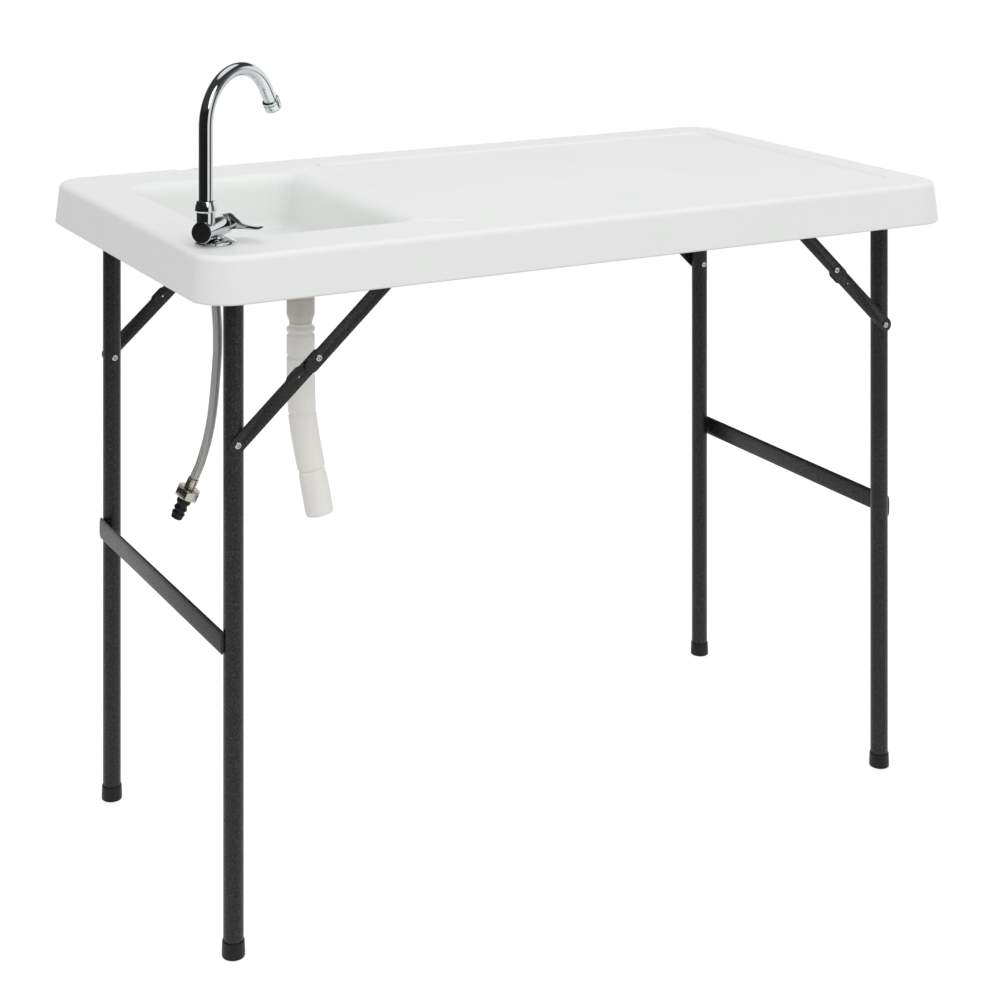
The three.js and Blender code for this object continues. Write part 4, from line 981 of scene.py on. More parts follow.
@dataclass
class WaterHose:
    """The braided supply hose that hangs from the shank, with its ferrules, nut and quick connector."""

    diameter: float = 11.5 * MM
    weave_depth: float = 0.35 * MM
    sides: int = 96
    step: float = 0.7 * MM
    route: Route = field(default_factory=lambda: Route([
        (-519.5, -217, 796.7), (-519.7, -216.9, 786), (-519, -217.3, 774), (-518.3, -217.6, 760),
        (-518.1, -217.7, 745), (-518.4, -217.6, 728), (-519.3, -217.1, 711), (-520.4, -216.5, 695),
        (-521.6, -215.9, 679), (-523, -215.2, 664), (-524.7, -214.3, 649), (-527, -213.1, 634),
        (-530, -211.6, 619), (-533.4, -209.8, 605.5), (-537.4, -207.7, 591.5), (-540.5, -206.2, 583.5),
        (-543.6, -204.5, 575.6),
    ]))
    bundle_rise: float = 3.0  # how steeply the edges of a bundle rise
    top_ferrule: Pair = (15.5 * MM, 17.7 * MM)  # diameter and length
    end_ferrule: Pair = (14 * MM, 13.6 * MM)
    lip: float = 1.1 * MM  # the unit of a ferrule's rolled lips
    lip_groove: float = 0.5 * MM
    crimp_depth: float = 0.4 * MM
    crimp_sides: int = 8
    nut: Pair = (27.7 * MM, 11 * MM)
    connector: Pair = (17.8 * MM, 28 * MM)
    connector_shares: tuple[Pair, ...] = (
        (1, 0), (1, 0.26), (0.78, 0.32), (0.78, 0.45), (0.94, 0.5), (0.94, 0.58), (0.76, 0.62),
        (0.76, 0.7), (0.92, 0.74), (0.92, 0.82), (0.76, 0.86), (0.84, 0.9), (0.78, 1),
    )
    grips: int = 12
    grip: Triple = (1.4 * MM, 1.2 * MM, 6.4 * MM)  # diameter of a grip groove, its lower and upper end
    grip_out: float = 0.25 * MM  # how far a grip groove's middle lies outside the connector
    bore: float = 6 * MM

    def weave(self, turn: float, along: float) -> float:
        """Returns how high the braid stands at a place, from 0 to 1.

        Args:
            turn: The place round the hose, in turns.
            along: The place along it, in circumferences.

        Returns:
            The height as a share of the weave's depth.
        """
        slants = [BRAID.bundles * (turn + along), BRAID.bundles * (turn - along)]
        over = sum(math.floor(slant) for slant in slants) % 2
        share = slants[over] % 1.0
        return min(1.0, self.bundle_rise * min(share, 1.0 - share))

    def braid(self) -> Workpiece:
        """Builds the hose with its woven surface."""
        steps = int(self.route.length / self.step)
        circumference = math.pi * self.diameter
        rings, marks = [], []
        for index in range(steps + 1):
            share = index / steps
            mark = share * self.route.length / circumference
            radii = [
                self.diameter / 2 - self.weave_depth * (1 - self.weave(side / self.sides, mark))
                for side in range(self.sides)
            ]
            rings.append(self.route.ring(radii, share, self.sides))
            marks.append(mark)
        return mesh_from_rings("water_hose_braid", rings, marks).smooth(math.radians(60))

    def ferrule(self, name: str, size: Pair) -> Workpiece:
        """Builds a ferrule with rolled lips and a crimped, eight-sided waist."""
        radius, length, lip = size[0] / 2, size[1], self.lip
        foot = [
            (radius - lip * 0.6, 0), (radius, lip * 0.6), (radius, lip * 1.6),
            (radius - self.lip_groove, lip * 2.2), (radius, lip * 2.8),
        ]
        head = [(across, length - up) for across, up in foot[::-1]]
        ferrule = Workpiece.tube(name, rounded([*foot, *head], 0.3 * MM, 2), self.bore)
        low, high, sides = lip * 3.4, length - lip * 3.4, self.crimp_sides
        crimp = Workpiece.cylinder("crimp", 3 * radius, low, high)
        corners = 2 * (radius - self.crimp_depth) / math.cos(math.pi / sides)
        crimp.combine(Joining.CUT, Workpiece.cylinder("die", corners, low - OVERRUN, high + OVERRUN, sides))
        return ferrule.combine(Joining.CUT, crimp).soften(0.15 * MM).smooth()

    def quick_connector(self) -> Workpiece:
        """Builds the black quick connector with its collars."""
        radius = self.connector[0] / 2
        profile = rounded(scaled(self.connector_shares, radius, self.connector[1]), 0.8 * MM, 3)
        body = Workpiece.tube("quick_connector_body", profile, self.bore)
        grips = []
        for index in range(self.grips):
            turn = spun(360 * index / self.grips)
            groove = Workpiece.cylinder("groove", *self.grip, sides=12)
            grips.append(groove.place(turn @ moved(radius + self.grip_out)))
        return body.combine(Joining.CUT, *grips).smooth()

    def build(self) -> None:
        ferrule_top = UNDERSIDE - SHANK_DROP - GAP
        first = self.ferrule("hose_top_ferrule_crimped", self.top_ferrule)
        first.place(moved(*SHANK_AT, ferrule_top - self.top_ferrule[1]))
        hand_over(first, NICKEL, ["hose_top_ferrule"])

        place, along = self.route.at(1.0)
        end = Matrix.Translation(place) @ Vector((0, 0, 1)).rotation_difference(along).to_matrix().to_4x4()
        second = self.ferrule("hose_end_ferrule_crimped", self.end_ferrule)
        second.place(end @ moved(z=GAP))
        fittings = [hand_over(second, NICKEL, ["hose_end_ferrule"])]
        nut_start = 2 * GAP + self.end_ferrule[1]
        nut = hexagonal("hose_nut_turned", self.nut[0], 0, self.nut[1], self.bore).smooth()
        nut.place(end @ moved(z=nut_start))
        fittings.append(hand_over(nut, NICKEL, ["hose_nut"]))
        connector = self.quick_connector()
        connector.place(end @ moved(z=nut_start + self.nut[1] + GAP))
        fittings.append(hand_over(connector, BLACK_PLASTIC, ["quick_connector"]))

        hose = hand_over(self.braid(), BRAID, ["water_hose"])


@dataclass
class DrainHose:
    """The white sectional drain hose: rigid sections with narrow necks, pulled to a slight lean."""

    diameter: float = 37 * MM
    bore: float = 25 * MM
    sides: int = 64
    neck_round: float = 1.1 * MM
    ring_step: float = 6 * MM  # the widest step between two rings outside
    bore_rings: int = 30
    shares: tuple[Pair, ...] = (
        (0.8, 0), (0.8, 0.012), (1, 0.024), (1, 0.04), (0.79, 0.05), (1, 0.062), (1, 0.162), (0.85, 0.17),
        (1, 0.179), (1, 0.35), (0.985, 0.46), (0.87, 0.467), (1, 0.474), (1, 0.64), (0.99, 0.755),
        (0.86, 0.768), (0.95, 0.778), (0.95, 0.79), (0.985, 0.8), (1, 0.815), (1, 0.985), (0.96, 1),
    )
    route: Route = field(default_factory=lambda: Route([
        (-358.5, -110, 724.3), (-358.5, -110, 705), (-358.5, -110, 686), (-358.5, -110, 667),
        (-358.3, -110.1, 648), (-357.9, -110.3, 630), (-357.1, -110.7, 612), (-355.5, -111.6, 594),
        (-353, -112.8, 576), (-350.1, -114.4, 558), (-347, -116, 540), (-344.1, -117.4, 523),
        (-341.4, -118.8, 507), (-338.9, -120.2, 491), (-336.5, -121.4, 475.7),
    ]))

    def build(self) -> None:
        length = self.route.length
        outline = rounded(scaled(self.shares, self.diameter / 2, length), self.neck_round, 4)
        dense = []
        for before, after in zip(outline, outline[1:]):
            pieces = max(1, math.ceil((after[1] - before[1]) / self.ring_step))
            dense += [
                (before[0] + (after[0] - before[0]) * piece / pieces,
                 before[1] + (after[1] - before[1]) * piece / pieces)
                for piece in range(pieces)
            ]
        dense.append(outline[-1])
        steps = self.bore_rings
        inside = [(self.bore / 2, length * index / steps) for index in range(steps, -1, -1)]
        rings = [self.route.ring(float(radius), mark / length, self.sides) for radius, mark in dense + inside]
        marks = [mark for _, mark in dense + inside]
        hose = mesh_from_rings("drain_hose_sections", rings, marks, closed=True)
        obj = hand_over(hose.smooth(math.radians(50)), HOSE_PLASTIC, ["drain_hose"])


# Table top


@dataclass
class TableTop:
    """The blow-moulded top: skirt, bay, sink, work panel, channels and the dip in the back rim."""

    length: float = 1143 * MM
    width: float = 620 * MM
    corner: float = 50 * MM
    edge_round: float = 8.5 * MM
    edge_steps: int = 8
    skirt: float = 57.5 * MM
    skirt_thickness: float = 30 * MM
    draft: float = 5.5 * MM
    lip: float = 3 * MM
    lip_steps: int = 3
    bay_round: float = 3 * MM
    sink_centre: float = -363.5 * MM
    sink_size: Pair = (269 * MM, 416 * MM)
    sink_corner: float = 38 * MM
    sink_blend: float = 2.5 * MM
    tub_blend: float = 6 * MM
    floor_inset: float = 31 * MM
    floor_run: float = 8 * MM  # a stretch of floor, so that the wall's foot blends into it
    wall_shares: tuple[Pair, ...] = (
        (0, 0), (0.19, 0.026), (0.39, 0.079), (0.52, 0.158), (0.58, 0.25), (0.71, 0.88), (0.81, 0.96), (1, 1),
    )
    tub_first: int = 3
    work_ends: Pair = (-180 * MM, 521 * MM)
    work_width: float = 492 * MM
    work_corner: float = 30 * MM
    # Inset and drop in millimetres: the flared rim, the drain groove and the bed inside it
    work_drops: tuple[Pair, ...] = (
        (-1.4, -2), (-1.4, 0), (-0.6, 0.3), (0.3, 1.1), (1.2, 2.3), (2.2, 3.2), (3.4, 3.7), (4.8, 3.7),
        (6.2, 3.4), (7.4, 2.8), (8.4, 2.55), (9.6, 2.5),
    )
    channel: Pair = (14 * MM, 3 * MM)  # width and depth
    channel_in: float = 8 * MM  # how far a channel's ends reach into the sink and the work panel
    dip: Triple = (34 * MM, 3 * MM, 30 * MM)  # width, depth and length
    deck_hole: float = 15 * MM
    drain_hole: float = 44.6 * MM

    def shell(self) -> Workpiece:
        """Builds the closed outer form, with its rounded rim and lip."""
        bottom = TOP - self.skirt
        rim = quarter_round(self.edge_round, TOP, self.edge_steps, self.draft)
        levels = [(0.0, bottom + self.lip), *rim]
        shell = Workpiece.tray("tabletop_moulding", 0, (self.length, self.width), self.corner, levels)
        with shell.editing():
            shell.pick_faces(lambda middle, normal: normal.z < -0.9 and middle.z < bottom + self.lip + MM)
            turned = quarter_round(self.lip, self.lip, self.lip_steps)
            for before, after in zip(turned, turned[1:]):
                bpy.ops.mesh.inset(
                    thickness=after[0] - before[0], depth=after[1] - before[1], use_even_offset=True
                )
        return shell

    def bay(self) -> Workpiece:
        """Builds the cutter of the hollow inside the skirt, softly rounded where it meets the panel."""
        levels = [(0.0, TOP - self.skirt - OVERRUN), *quarter_round(self.bay_round, UNDERSIDE, 3)]
        inside = 2 * self.skirt_thickness
        size = (self.length - inside, self.width - inside)
        return Workpiece.tray("bay", 0, size, self.corner - self.skirt_thickness, levels, steps=8)

    def tub(self) -> Workpiece:
        """Builds the outside of the sink, which hangs below the panel."""
        levels = [
            (inset * self.floor_inset, TOP - depth * (SINK_DEPTH + SINK_WALL))
            for inset, depth in self.wall_shares[self.tub_first:]
        ]
        grow = 2 * SINK_WALL
        size = (self.sink_size[0] + grow, self.sink_size[1] + grow)
        soft = rounded(levels, self.tub_blend, 4)
        return Workpiece.tray("tub", self.sink_centre, size, self.sink_corner + SINK_WALL, soft)

    def sink(self) -> Workpiece:
        """Builds the cutter of the sink, its lip, wall and floor blended into each other."""
        wall = [(inset * self.floor_inset, TOP - depth * SINK_DEPTH) for inset, depth in self.wall_shares]
        inset, floor = wall[-1]
        course = [(0.0, TOP + OVERRUN), *wall, (inset + self.floor_run, floor)]
        levels = rounded(course, self.sink_blend, 3)[:-1]
        return Workpiece.tray("sink", self.sink_centre, self.sink_size, self.sink_corner, levels)

    def work_panel(self) -> Workpiece:
        """Builds the cutter of the work panel, with its flared rim, drain groove and bed."""
        start, end = self.work_ends
        levels = [(inset * MM, TOP - drop * MM) for inset, drop in self.work_drops]
        size = (end - start, self.work_width)
        return Workpiece.tray("work_panel", (start + end) / 2, size, self.work_corner, levels)

    def trough(self, begin: Pair, end: Pair, width: float, depth: float) -> Workpiece:
        """Builds the cutter of a shallow round-bottomed trough between two places."""
        radius = (depth * depth + width * width / 4) / (2 * depth)
        run = Vector((end[0] - begin[0], end[1] - begin[1], 0))
        cutter = Workpiece.cylinder("trough", 2 * radius, 0, run.length, sides=2 * ROUND_SIDES)
        lie = Vector((0, 0, 1)).rotation_difference(run).to_matrix().to_4x4()
        return cutter.place(moved(*begin, TOP - depth + radius) @ lie)

    def build(self) -> None:
        """Cuts and joins the parts of the moulding, and softens its edges."""
        body = self.shell()
        body.combine(Joining.CUT, self.bay())
        body.combine(Joining.JOIN, self.tub())
        body.combine(Joining.CUT, self.sink(), self.work_panel())
        inwards = self.channel_in
        inner, outer = self.sink_size[1] / 2 - inwards, self.work_width / 2 - inwards
        for side in (-1, 1):
            begin = (self.work_ends[0] + inwards, side * outer)
            end = (self.sink_centre + self.sink_size[0] / 2 - inwards, side * inner)
            body.combine(Joining.CUT, self.trough(begin, end, *self.channel))
        back, (width, depth, reach) = self.width / 2, self.dip
        begin, end = (self.sink_centre, back - reach), (self.sink_centre, back + OVERRUN)
        body.combine(Joining.CUT, self.trough(begin, end, width, depth))
        deck_hole = Workpiece.cylinder("deck_hole", self.deck_hole, UNDERSIDE - OVERRUN, TOP + OVERRUN)
        deck_hole.place(moved(*SHANK_AT))
        floor = TOP - SINK_DEPTH
        drain_hole = Workpiece.cylinder(
            "drain_hole", self.drain_hole, floor - SINK_WALL - OVERRUN, floor + OVERRUN
        )
        drain_hole.place(moved(*DRAIN_AT))
        body.combine(Joining.CUT, deck_hole, drain_hole)
        hand_over(body.sealed().smooth().even(), POLYETHYLENE, ["tabletop"])


# Drain


@dataclass
class Drain:
    """The strainer in the sink's floor with its gasket, lock nut and tailpiece below."""

    floor: float = TOP - SINK_DEPTH
    flange: Pair = (60 * MM, 2 * MM)  # diameter and height
    flange_edge: float = 0.8 * MM
    slope: Triple = (1.5 * MM, 0.7 * MM, 4 * MM)  # flare and drop of the cup's mouth, width of the rim
    body: float = 44 * MM
    length: float = 30 * MM
    cup: Pair = (3 * MM, 3 * MM)  # depth of the cup and thickness of its floor
    cup_corner: float = 2 * MM
    wall: float = 2.5 * MM
    holes: int = 6
    hole: float = 6 * MM
    hole_circle: float = 16 * MM
    bore: float = 24 * MM
    thread: Triple = (5 * MM, 2.5 * MM, 0.7 * MM)  # height of its start, pitch and depth
    thread_end: float = 3 * MM
    gasket: Triple = (44.6 * MM, 60 * MM, 3 * MM)  # bore, diameter and thickness
    nut: Pair = (62 * MM, 10 * MM)  # across its corners, and height
    tail: Pair = (36.8 * MM, 33.1 * MM)
    tail_shares: tuple[Pair, ...] = ((0.82, 0), (0.82, 0.1), (0.88, 0.14), (1, 0.34), (1, 0.93), (0.97, 1))

    def __post_init__(self) -> None:
        """Works out the cup's floor and the seat where the cup stands on the threaded body."""
        self.cup_floor = self.floor + GAP - self.cup[0]
        self.seat = self.cup_floor - self.cup[1]

    def strainer(self) -> Workpiece:
        """Builds the chromed strainer: a dished flange round a cup with holes."""
        low, edge = self.floor + GAP, self.flange[0] / 2
        high, radius = low + self.flange[1], self.body / 2
        inside, corner = radius - self.wall, self.cup_corner
        flare, drop, width = self.slope
        rim = rounded([
            (0, self.cup_floor), (inside - corner, self.cup_floor), (inside, self.cup_floor + corner),
            (inside + flare, high - drop), (edge - width, high), (edge, low + self.flange_edge), (edge, low),
            (radius, low), (radius, self.seat), (0, self.seat),
        ], 1.2 * MM, 4)
        strainer = Workpiece.turned("sink_strainer_pressed", rim, FINE_SIDES)
        holes = []
        for index in range(self.holes):
            turn = spun(360 * index / self.holes)
            drill = Workpiece.cylinder("drill", self.hole, self.seat - OVERRUN, high, sides=24)
            holes.append(drill.place(turn @ moved(self.hole_circle / 2)))
        return strainer.combine(Joining.CUT, *holes).smooth()

    def threaded_body(self) -> Workpiece:
        """Builds the strainer's threaded lower body, which tapers in to the tailpiece."""
        bottom, radius = self.floor - self.length, self.body / 2
        start, pitch, depth = self.thread
        root, mark = radius - depth, bottom + start
        outside = [(self.tail[0] / 2, bottom), (self.tail[0] / 2, bottom + MM)]
        while mark < self.seat - self.thread_end - pitch:
            outside += [(root, mark), (radius, mark + pitch * 0.35), (radius, mark + pitch * 0.55)]
            mark += pitch
        outside += [(root, mark), (root, self.seat - GAP)]
        return Workpiece.tube("strainer_body_threaded", outside, self.bore, FINE_SIDES).smooth()

    def lock_nut(self, top: float) -> Workpiece:
        """Builds the black eight-sided lock nut."""
        corners, height = self.nut
        nut = Workpiece.cylinder("drain_lock_nut_moulded", corners, top - height, top, sides=8)
        bore = Workpiece.cylinder("bore", self.body + 2 * GAP, top - height - OVERRUN, top + OVERRUN)
        return nut.combine(Joining.CUT, bore).soften(0.9 * MM, 3).smooth()

    def build(self) -> None:
        """Builds the pieces from the strainer down to the tailpiece."""
        here = moved(*DRAIN_AT)
        hand_over(self.strainer().place(here), CHROME, ["sink_strainer"])
        hand_over(self.threaded_body().place(here), GREY_PLASTIC, body="root")
        inside, outside, thickness = self.gasket[0] / 2, self.gasket[1] / 2, self.gasket[2]
        gasket_top = self.floor - SINK_WALL - GAP
        gasket_bottom = gasket_top - thickness
        ring = rounded([
            (inside, gasket_bottom), (outside, gasket_bottom), (outside, gasket_top), (inside, gasket_top),
        ], 0.8 * MM, 3, closed=True)
        gasket = Workpiece.turned("drain_gasket_moulded", [*ring, ring[0]]).smooth()
        hand_over(gasket.place(here), RUBBER, ["drain_gasket"])
        hand_over(self.lock_nut(gasket_bottom - GAP).place(here), BLACK_PLASTIC, ["drain_lock_nut"])
        profile = rounded(scaled(self.tail_shares, self.tail[0] / 2, self.tail[1]), 1.5 * MM, 3)
        tail = Workpiece.tube("drain_tailpiece_moulded", profile, self.bore).smooth()
        bottom = self.floor - self.length - GAP - self.tail[1]
        hand_over(tail.place(here @ moved(z=bottom)), GREY_PLASTIC, ["drain_tailpiece"])


# Faucet


@dataclass
class Faucet:
    """The goose-neck faucet: base, lying barrel, spout with its nut and aerator, lever and shank."""

    turn: float = 42.0
    spout_turn: float = 29.0
    axis: float = 19.4 * MM
    front: float = 38.6 * MM
    back: float = 14 * MM
    barrel: float = 26.5 * MM
    barrel_round: float = 1.4 * MM
    cap: float = 25 * MM
    # Share of the cap's radius, and how far it stands out in millimetres
    cap_profile: tuple[Pair, ...] = ((0, 0), (1, 0), (1, 1.7), (0.904, 2.5), (0, 2.4))
    riser: float = 27 * MM
    boss: Pair = (22.7 * MM, 43.65 * MM)  # diameter and top
    boss_edge: Pair = (0.8 * MM, 1 * MM)
    spout: Pair = (17.24 * MM, 1.5 * MM)  # diameter and wall
    straight: float = 101.5 * MM
    bend_radius: float = 64 * MM
    bend: float = 148.4
    tail: float = 17 * MM
    hub: Pair = (26 * MM, 13.7 * MM)  # diameter and length
    base: Pair = (52 * MM, 5.5 * MM)  # diameter and height
    base_shares: tuple[Pair, ...] = ((1, 0), (1, 0.25), (0.93, 0.55), (0.75, 0.85), (0.52, 1))
    washer_seat: Pair = (36.6 * MM, 1.8 * MM)  # diameter and depth
    neck: tuple[Pair, ...] = ((0, 6.1), (11, 6.1), (10.4, 8.5), (11, 14))  # radius and height in millimetres
    cartridge: Pair = (16.6 * MM, 29 * MM)  # diameter and length of its bore
    waterway: float = 10 * MM
    inlet: Triple = (8 * MM, 4 * MM, 9.6 * MM)  # bore, and where the shank's socket starts and ends
    stem: Pair = (8.6 * MM, 8.3 * MM)  # bore in the lever, and how far the cartridge's stem stands out
    nut_size: Pair = (26.8 * MM, 13 * MM)
    nut_shares: tuple[Pair, ...] = ((0.97, 0), (1, 0.05), (1, 0.2), (0.98, 0.4), (0.84, 0.93), (0.79, 1))
    aerator_size: Pair = (22.5 * MM, 15 * MM)  # diameter and bore
    # Share of the aerator's radius, and height in millimetres
    aerator_profile: tuple[Pair, ...] = (
        (0.84, 0), (0.97, 0.5), (1, 1.6), (1, 3.4), (0.95, 3.8), (0.95, 4.3), (1, 4.7), (1, 12.1),
        (0.93, 14.2), (0.8, 14.5),
    )
    shank_size: Triple = (14 * MM, 9.3 * MM, 8 * MM)  # diameter, height above the deck and bore
    shank_thread: Pair = (1.5 * MM, 0.5 * MM)  # pitch and depth
    deck_nut: Pair = (22 * MM, 8.2 * MM)  # across its flats, and height
    lever_size: Pair = (53.5 * MM, 13.7 * MM)  # reach and rise from the barrel's axis
    blade: Pair = (13 * MM, 3.4 * MM)  # width and rounding of the lever's blade
    lever_shares: tuple[Pair, ...] = (
        (0.03, 1), (0.13, 0.99), (0.21, 0.8), (0.29, 0.53), (0.37, 0.31), (0.47, 0.18), (0.62, 0.095),
        (0.78, 0.05), (0.93, 0.015), (1, -0.11), (0.96, -0.22), (0.88, -0.255), (0.67, -0.24), (0.47, -0.24),
        (0.26, -0.33), (0.13, -0.58),
    )

    def __post_init__(self) -> None:
        """Works out where the faucet and its spout stand."""
        self.deck = moved(*SHANK_AT, TOP)
        self.here = self.deck @ spun(self.turn)
        riser_at = moved(-self.riser, 0, self.boss[1] + GAP)
        swing = spun(self.spout_turn - self.turn)
        self.riser_at = self.here @ riser_at @ swing
        self.shank_bore = self.shank_size[0] + 2 * GAP

    def base_plate(self) -> Workpiece:
        """Builds the domed base plate with its hollow for the washer."""
        bore, height = self.shank_bore / 2, self.base[1]
        seat, depth = self.washer_seat[0] / 2, self.washer_seat[1]
        dome = scaled(self.base_shares, self.base[0] / 2, height)
        rim = rounded([*dome, (bore, height)], 1.6 * MM, 4)
        hollow = [(bore, depth), (seat, depth), (seat, 0)]
        profile = [*hollow, *rim, hollow[0]]
        return Workpiece.turned("faucet_base_plate_spun", profile, FINE_SIDES).smooth()

    def body(self) -> Workpiece:
        """Builds the cast body: barrel, neck and riser boss with their bores."""
        radius, round_off = self.barrel / 2, self.barrel_round
        outline = rounded([
            (0, -self.front), (radius - 0.1 * MM, -self.front), (radius, -self.front + round_off),
            (radius, self.back), (0, self.back),
        ], round_off, 4)
        centre = moved(z=self.axis)
        body = Workpiece.turned("faucet_body_cast", outline, FINE_SIDES).place(centre @ TO_X)
        waist = scaled(self.neck, MM, MM)
        waist += [(waist[-1][0], self.axis), (0, self.axis)]
        neck = Workpiece.turned("neck", rounded(waist, 1.2 * MM, 3))
        boss_radius, boss_top = self.boss[0] / 2, self.boss[1]
        inwards, down = self.boss_edge
        boss = Workpiece.turned("boss", rounded([
            (0, self.axis), (boss_radius, self.axis), (boss_radius, boss_top - down),
            (boss_radius - inwards, boss_top), (0, boss_top),
        ], 0.6 * MM, 3), FINE_SIDES)
        boss.place(moved(-self.riser))
        body.combine(Joining.JOIN, neck, boss)
        bore_end = self.back - self.cartridge[1] - GAP
        cartridge = Workpiece.cylinder("bore", self.cartridge[0], bore_end, self.back + OVERRUN)
        waterway = Workpiece.cylinder("waterway", self.waterway, -self.riser, bore_end + OVERRUN)
        riser = Workpiece.cylinder("riser", self.waterway, self.axis, boss_top + OVERRUN)
        riser.place(moved(-self.riser))
        bore, low, high = self.inlet
        socket = Workpiece.cylinder("socket", self.shank_bore, low, high)
        inlet = Workpiece.cylinder("inlet", bore, low + OVERRUN, self.axis)
        body.combine(
            Joining.CUT, cartridge.place(centre @ TO_X), waterway.place(centre @ TO_X), riser, socket, inlet
        )
        return body.sealed().smooth()

    def end_cap(self) -> Workpiece:
        """Builds the black disc in the barrel's capped end."""
        start = -self.front - GAP
        outline = [(across, start - out) for across, out in scaled(self.cap_profile, self.cap / 2, MM)]
        cap = Workpiece.turned("faucet_end_cap_moulded", rounded(outline, 0.8 * MM, 4))
        return cap.place(moved(z=self.axis) @ TO_X).smooth()

    def lever(self) -> Workpiece:
        """Builds the lever: a round hub with an S-shaped blade that ends in a soft tip."""
        start, radius = self.back + GAP, self.hub[0] / 2
        end = start + self.hub[1]
        hub = Workpiece.turned("faucet_lever_cast", rounded([
            (0, start), (radius - 0.8 * MM, start), (radius, start + 0.8 * MM), (radius, end - 4 * MM),
            (radius - 2.4 * MM, end - 0.6 * MM), (0, end),
        ], 2.4 * MM, 6), FINE_SIDES).place(TO_X)
        outline = rounded(scaled(self.lever_shares, *self.lever_size), 5 * MM, 5, closed=True)
        width, edge = self.blade
        blade = Workpiece.plate("blade", outline, width).soften(edge, 5, 50)
        across = spun(-90)
        blade.place(moved((start + end) / 2) @ across)
        hub.combine(Joining.JOIN, blade)
        bore, stem_end = self.stem[0], self.back + self.stem[1]
        socket = Workpiece.cylinder("socket", bore, start - OVERRUN, stem_end, sides=24).place(TO_X)
        hub.combine(Joining.CUT, socket)
        return hub.place(moved(z=self.axis)).smooth(math.radians(40))

    def spout_nut(self) -> Workpiece:
        """Builds the conical nut round the foot of the spout."""
        profile = rounded(scaled(self.nut_shares, self.nut_size[0] / 2, self.nut_size[1]), 0.7 * MM, 3)
        bore = self.spout[0] + 2 * GAP
        return Workpiece.tube("faucet_spout_nut_turned", profile, bore, FINE_SIDES).smooth()

    def goose_neck(self) -> Workpiece:
        """Bends the spout: a ring pushed straight up, spun round the bend and pushed down the tail."""
        select_only()
        radius = self.spout[0] / 2
        bpy.ops.mesh.primitive_circle_add(vertices=ROUND_SIDES, radius=radius)
        pipe = Workpiece.taken("faucet_spout_bent")
        bend = math.radians(self.bend)
        with pipe.editing("VERT", "SELECT"):
            bpy.ops.mesh.extrude_region_move(TRANSFORM_OT_translate={"value": (0, 0, self.straight)})
            bpy.ops.mesh.spin(
                steps=56, angle=bend, center=(self.bend_radius, 0, self.straight), axis=(0, -1, 0)
            )
            step = (math.sin(bend) * self.tail, 0, math.cos(bend) * self.tail)
            bpy.ops.mesh.extrude_region_move(TRANSFORM_OT_translate={"value": step})
        pipe.sealed()
        pipe.modify("SOLIDIFY", thickness=self.spout[1], offset=-1)
        return pipe.smooth()

    def aerator(self) -> Workpiece:
        """Builds the aerator: a collar, a fine groove and a body with a soft lower edge."""
        diameter, bore = self.aerator_size
        profile = rounded(scaled(self.aerator_profile, diameter / 2, MM), 0.9 * MM, 3)
        return Workpiece.tube("faucet_aerator_turned", profile, bore, FINE_SIDES).smooth()

    def shank(self) -> Workpiece:
        """Builds the threaded shank that passes through the deck."""
        diameter, top, bore = self.shank_size
        pitch, depth = self.shank_thread
        radius, bottom = diameter / 2, -PANEL - SHANK_DROP
        root, mark = radius - depth, bottom + 0.4 * pitch
        profile = [(root, bottom)]
        while mark < -2 * pitch:
            profile += [(radius, mark + 0.35 * pitch), (radius, mark + 0.5 * pitch), (root, mark + pitch)]
            mark += pitch
        profile += [(radius, mark + pitch), (radius, top)]
        return Workpiece.tube("faucet_shank_threaded", profile, bore).smooth()

    def build(self) -> None:
        """Builds the faucet from its base up."""
        above = self.here @ moved(z=GAP)
        hand_over(self.base_plate().place(above), CHROME, ["faucet_base_plate"])
        hand_over(self.body().place(self.here), CHROME, ["faucet_body"])
        hand_over(self.end_cap().place(self.here), BLACK_PLASTIC, ["faucet_end_cap"])
        hand_over(self.lever().place(self.here), CHROME, ["faucet_lever"])
        hand_over(self.spout_nut().place(self.riser_at), CHROME, ["faucet_spout_nut"])
        hand_over(self.goose_neck().place(self.riser_at), CHROME, ["faucet_spout"])
        bend = math.radians(self.bend)
        out = self.bend_radius * (1 - math.cos(bend)) + self.tail * math.sin(bend)
        up = self.straight + self.bend_radius * math.sin(bend) + self.tail * math.cos(bend)
        tip = self.riser_at @ moved(out, 0, up) @ Matrix.Rotation(bend, 4, "Y")
        aerator = self.aerator().place(tip @ moved(z=GAP))
        hand_over(aerator, CHROME, ["faucet_aerator"])
        hand_over(self.shank().place(self.here), NICKEL, ["faucet_shank"])
        flats, height = self.deck_nut
        under = -PANEL - GAP
        nut = hexagonal("faucet_deck_nut_turned", flats, under - height, under, self.shank_bore).smooth()
        hand_over(nut.place(self.deck), NICKEL, ["faucet_deck_nut"])


# Leg frames and braces


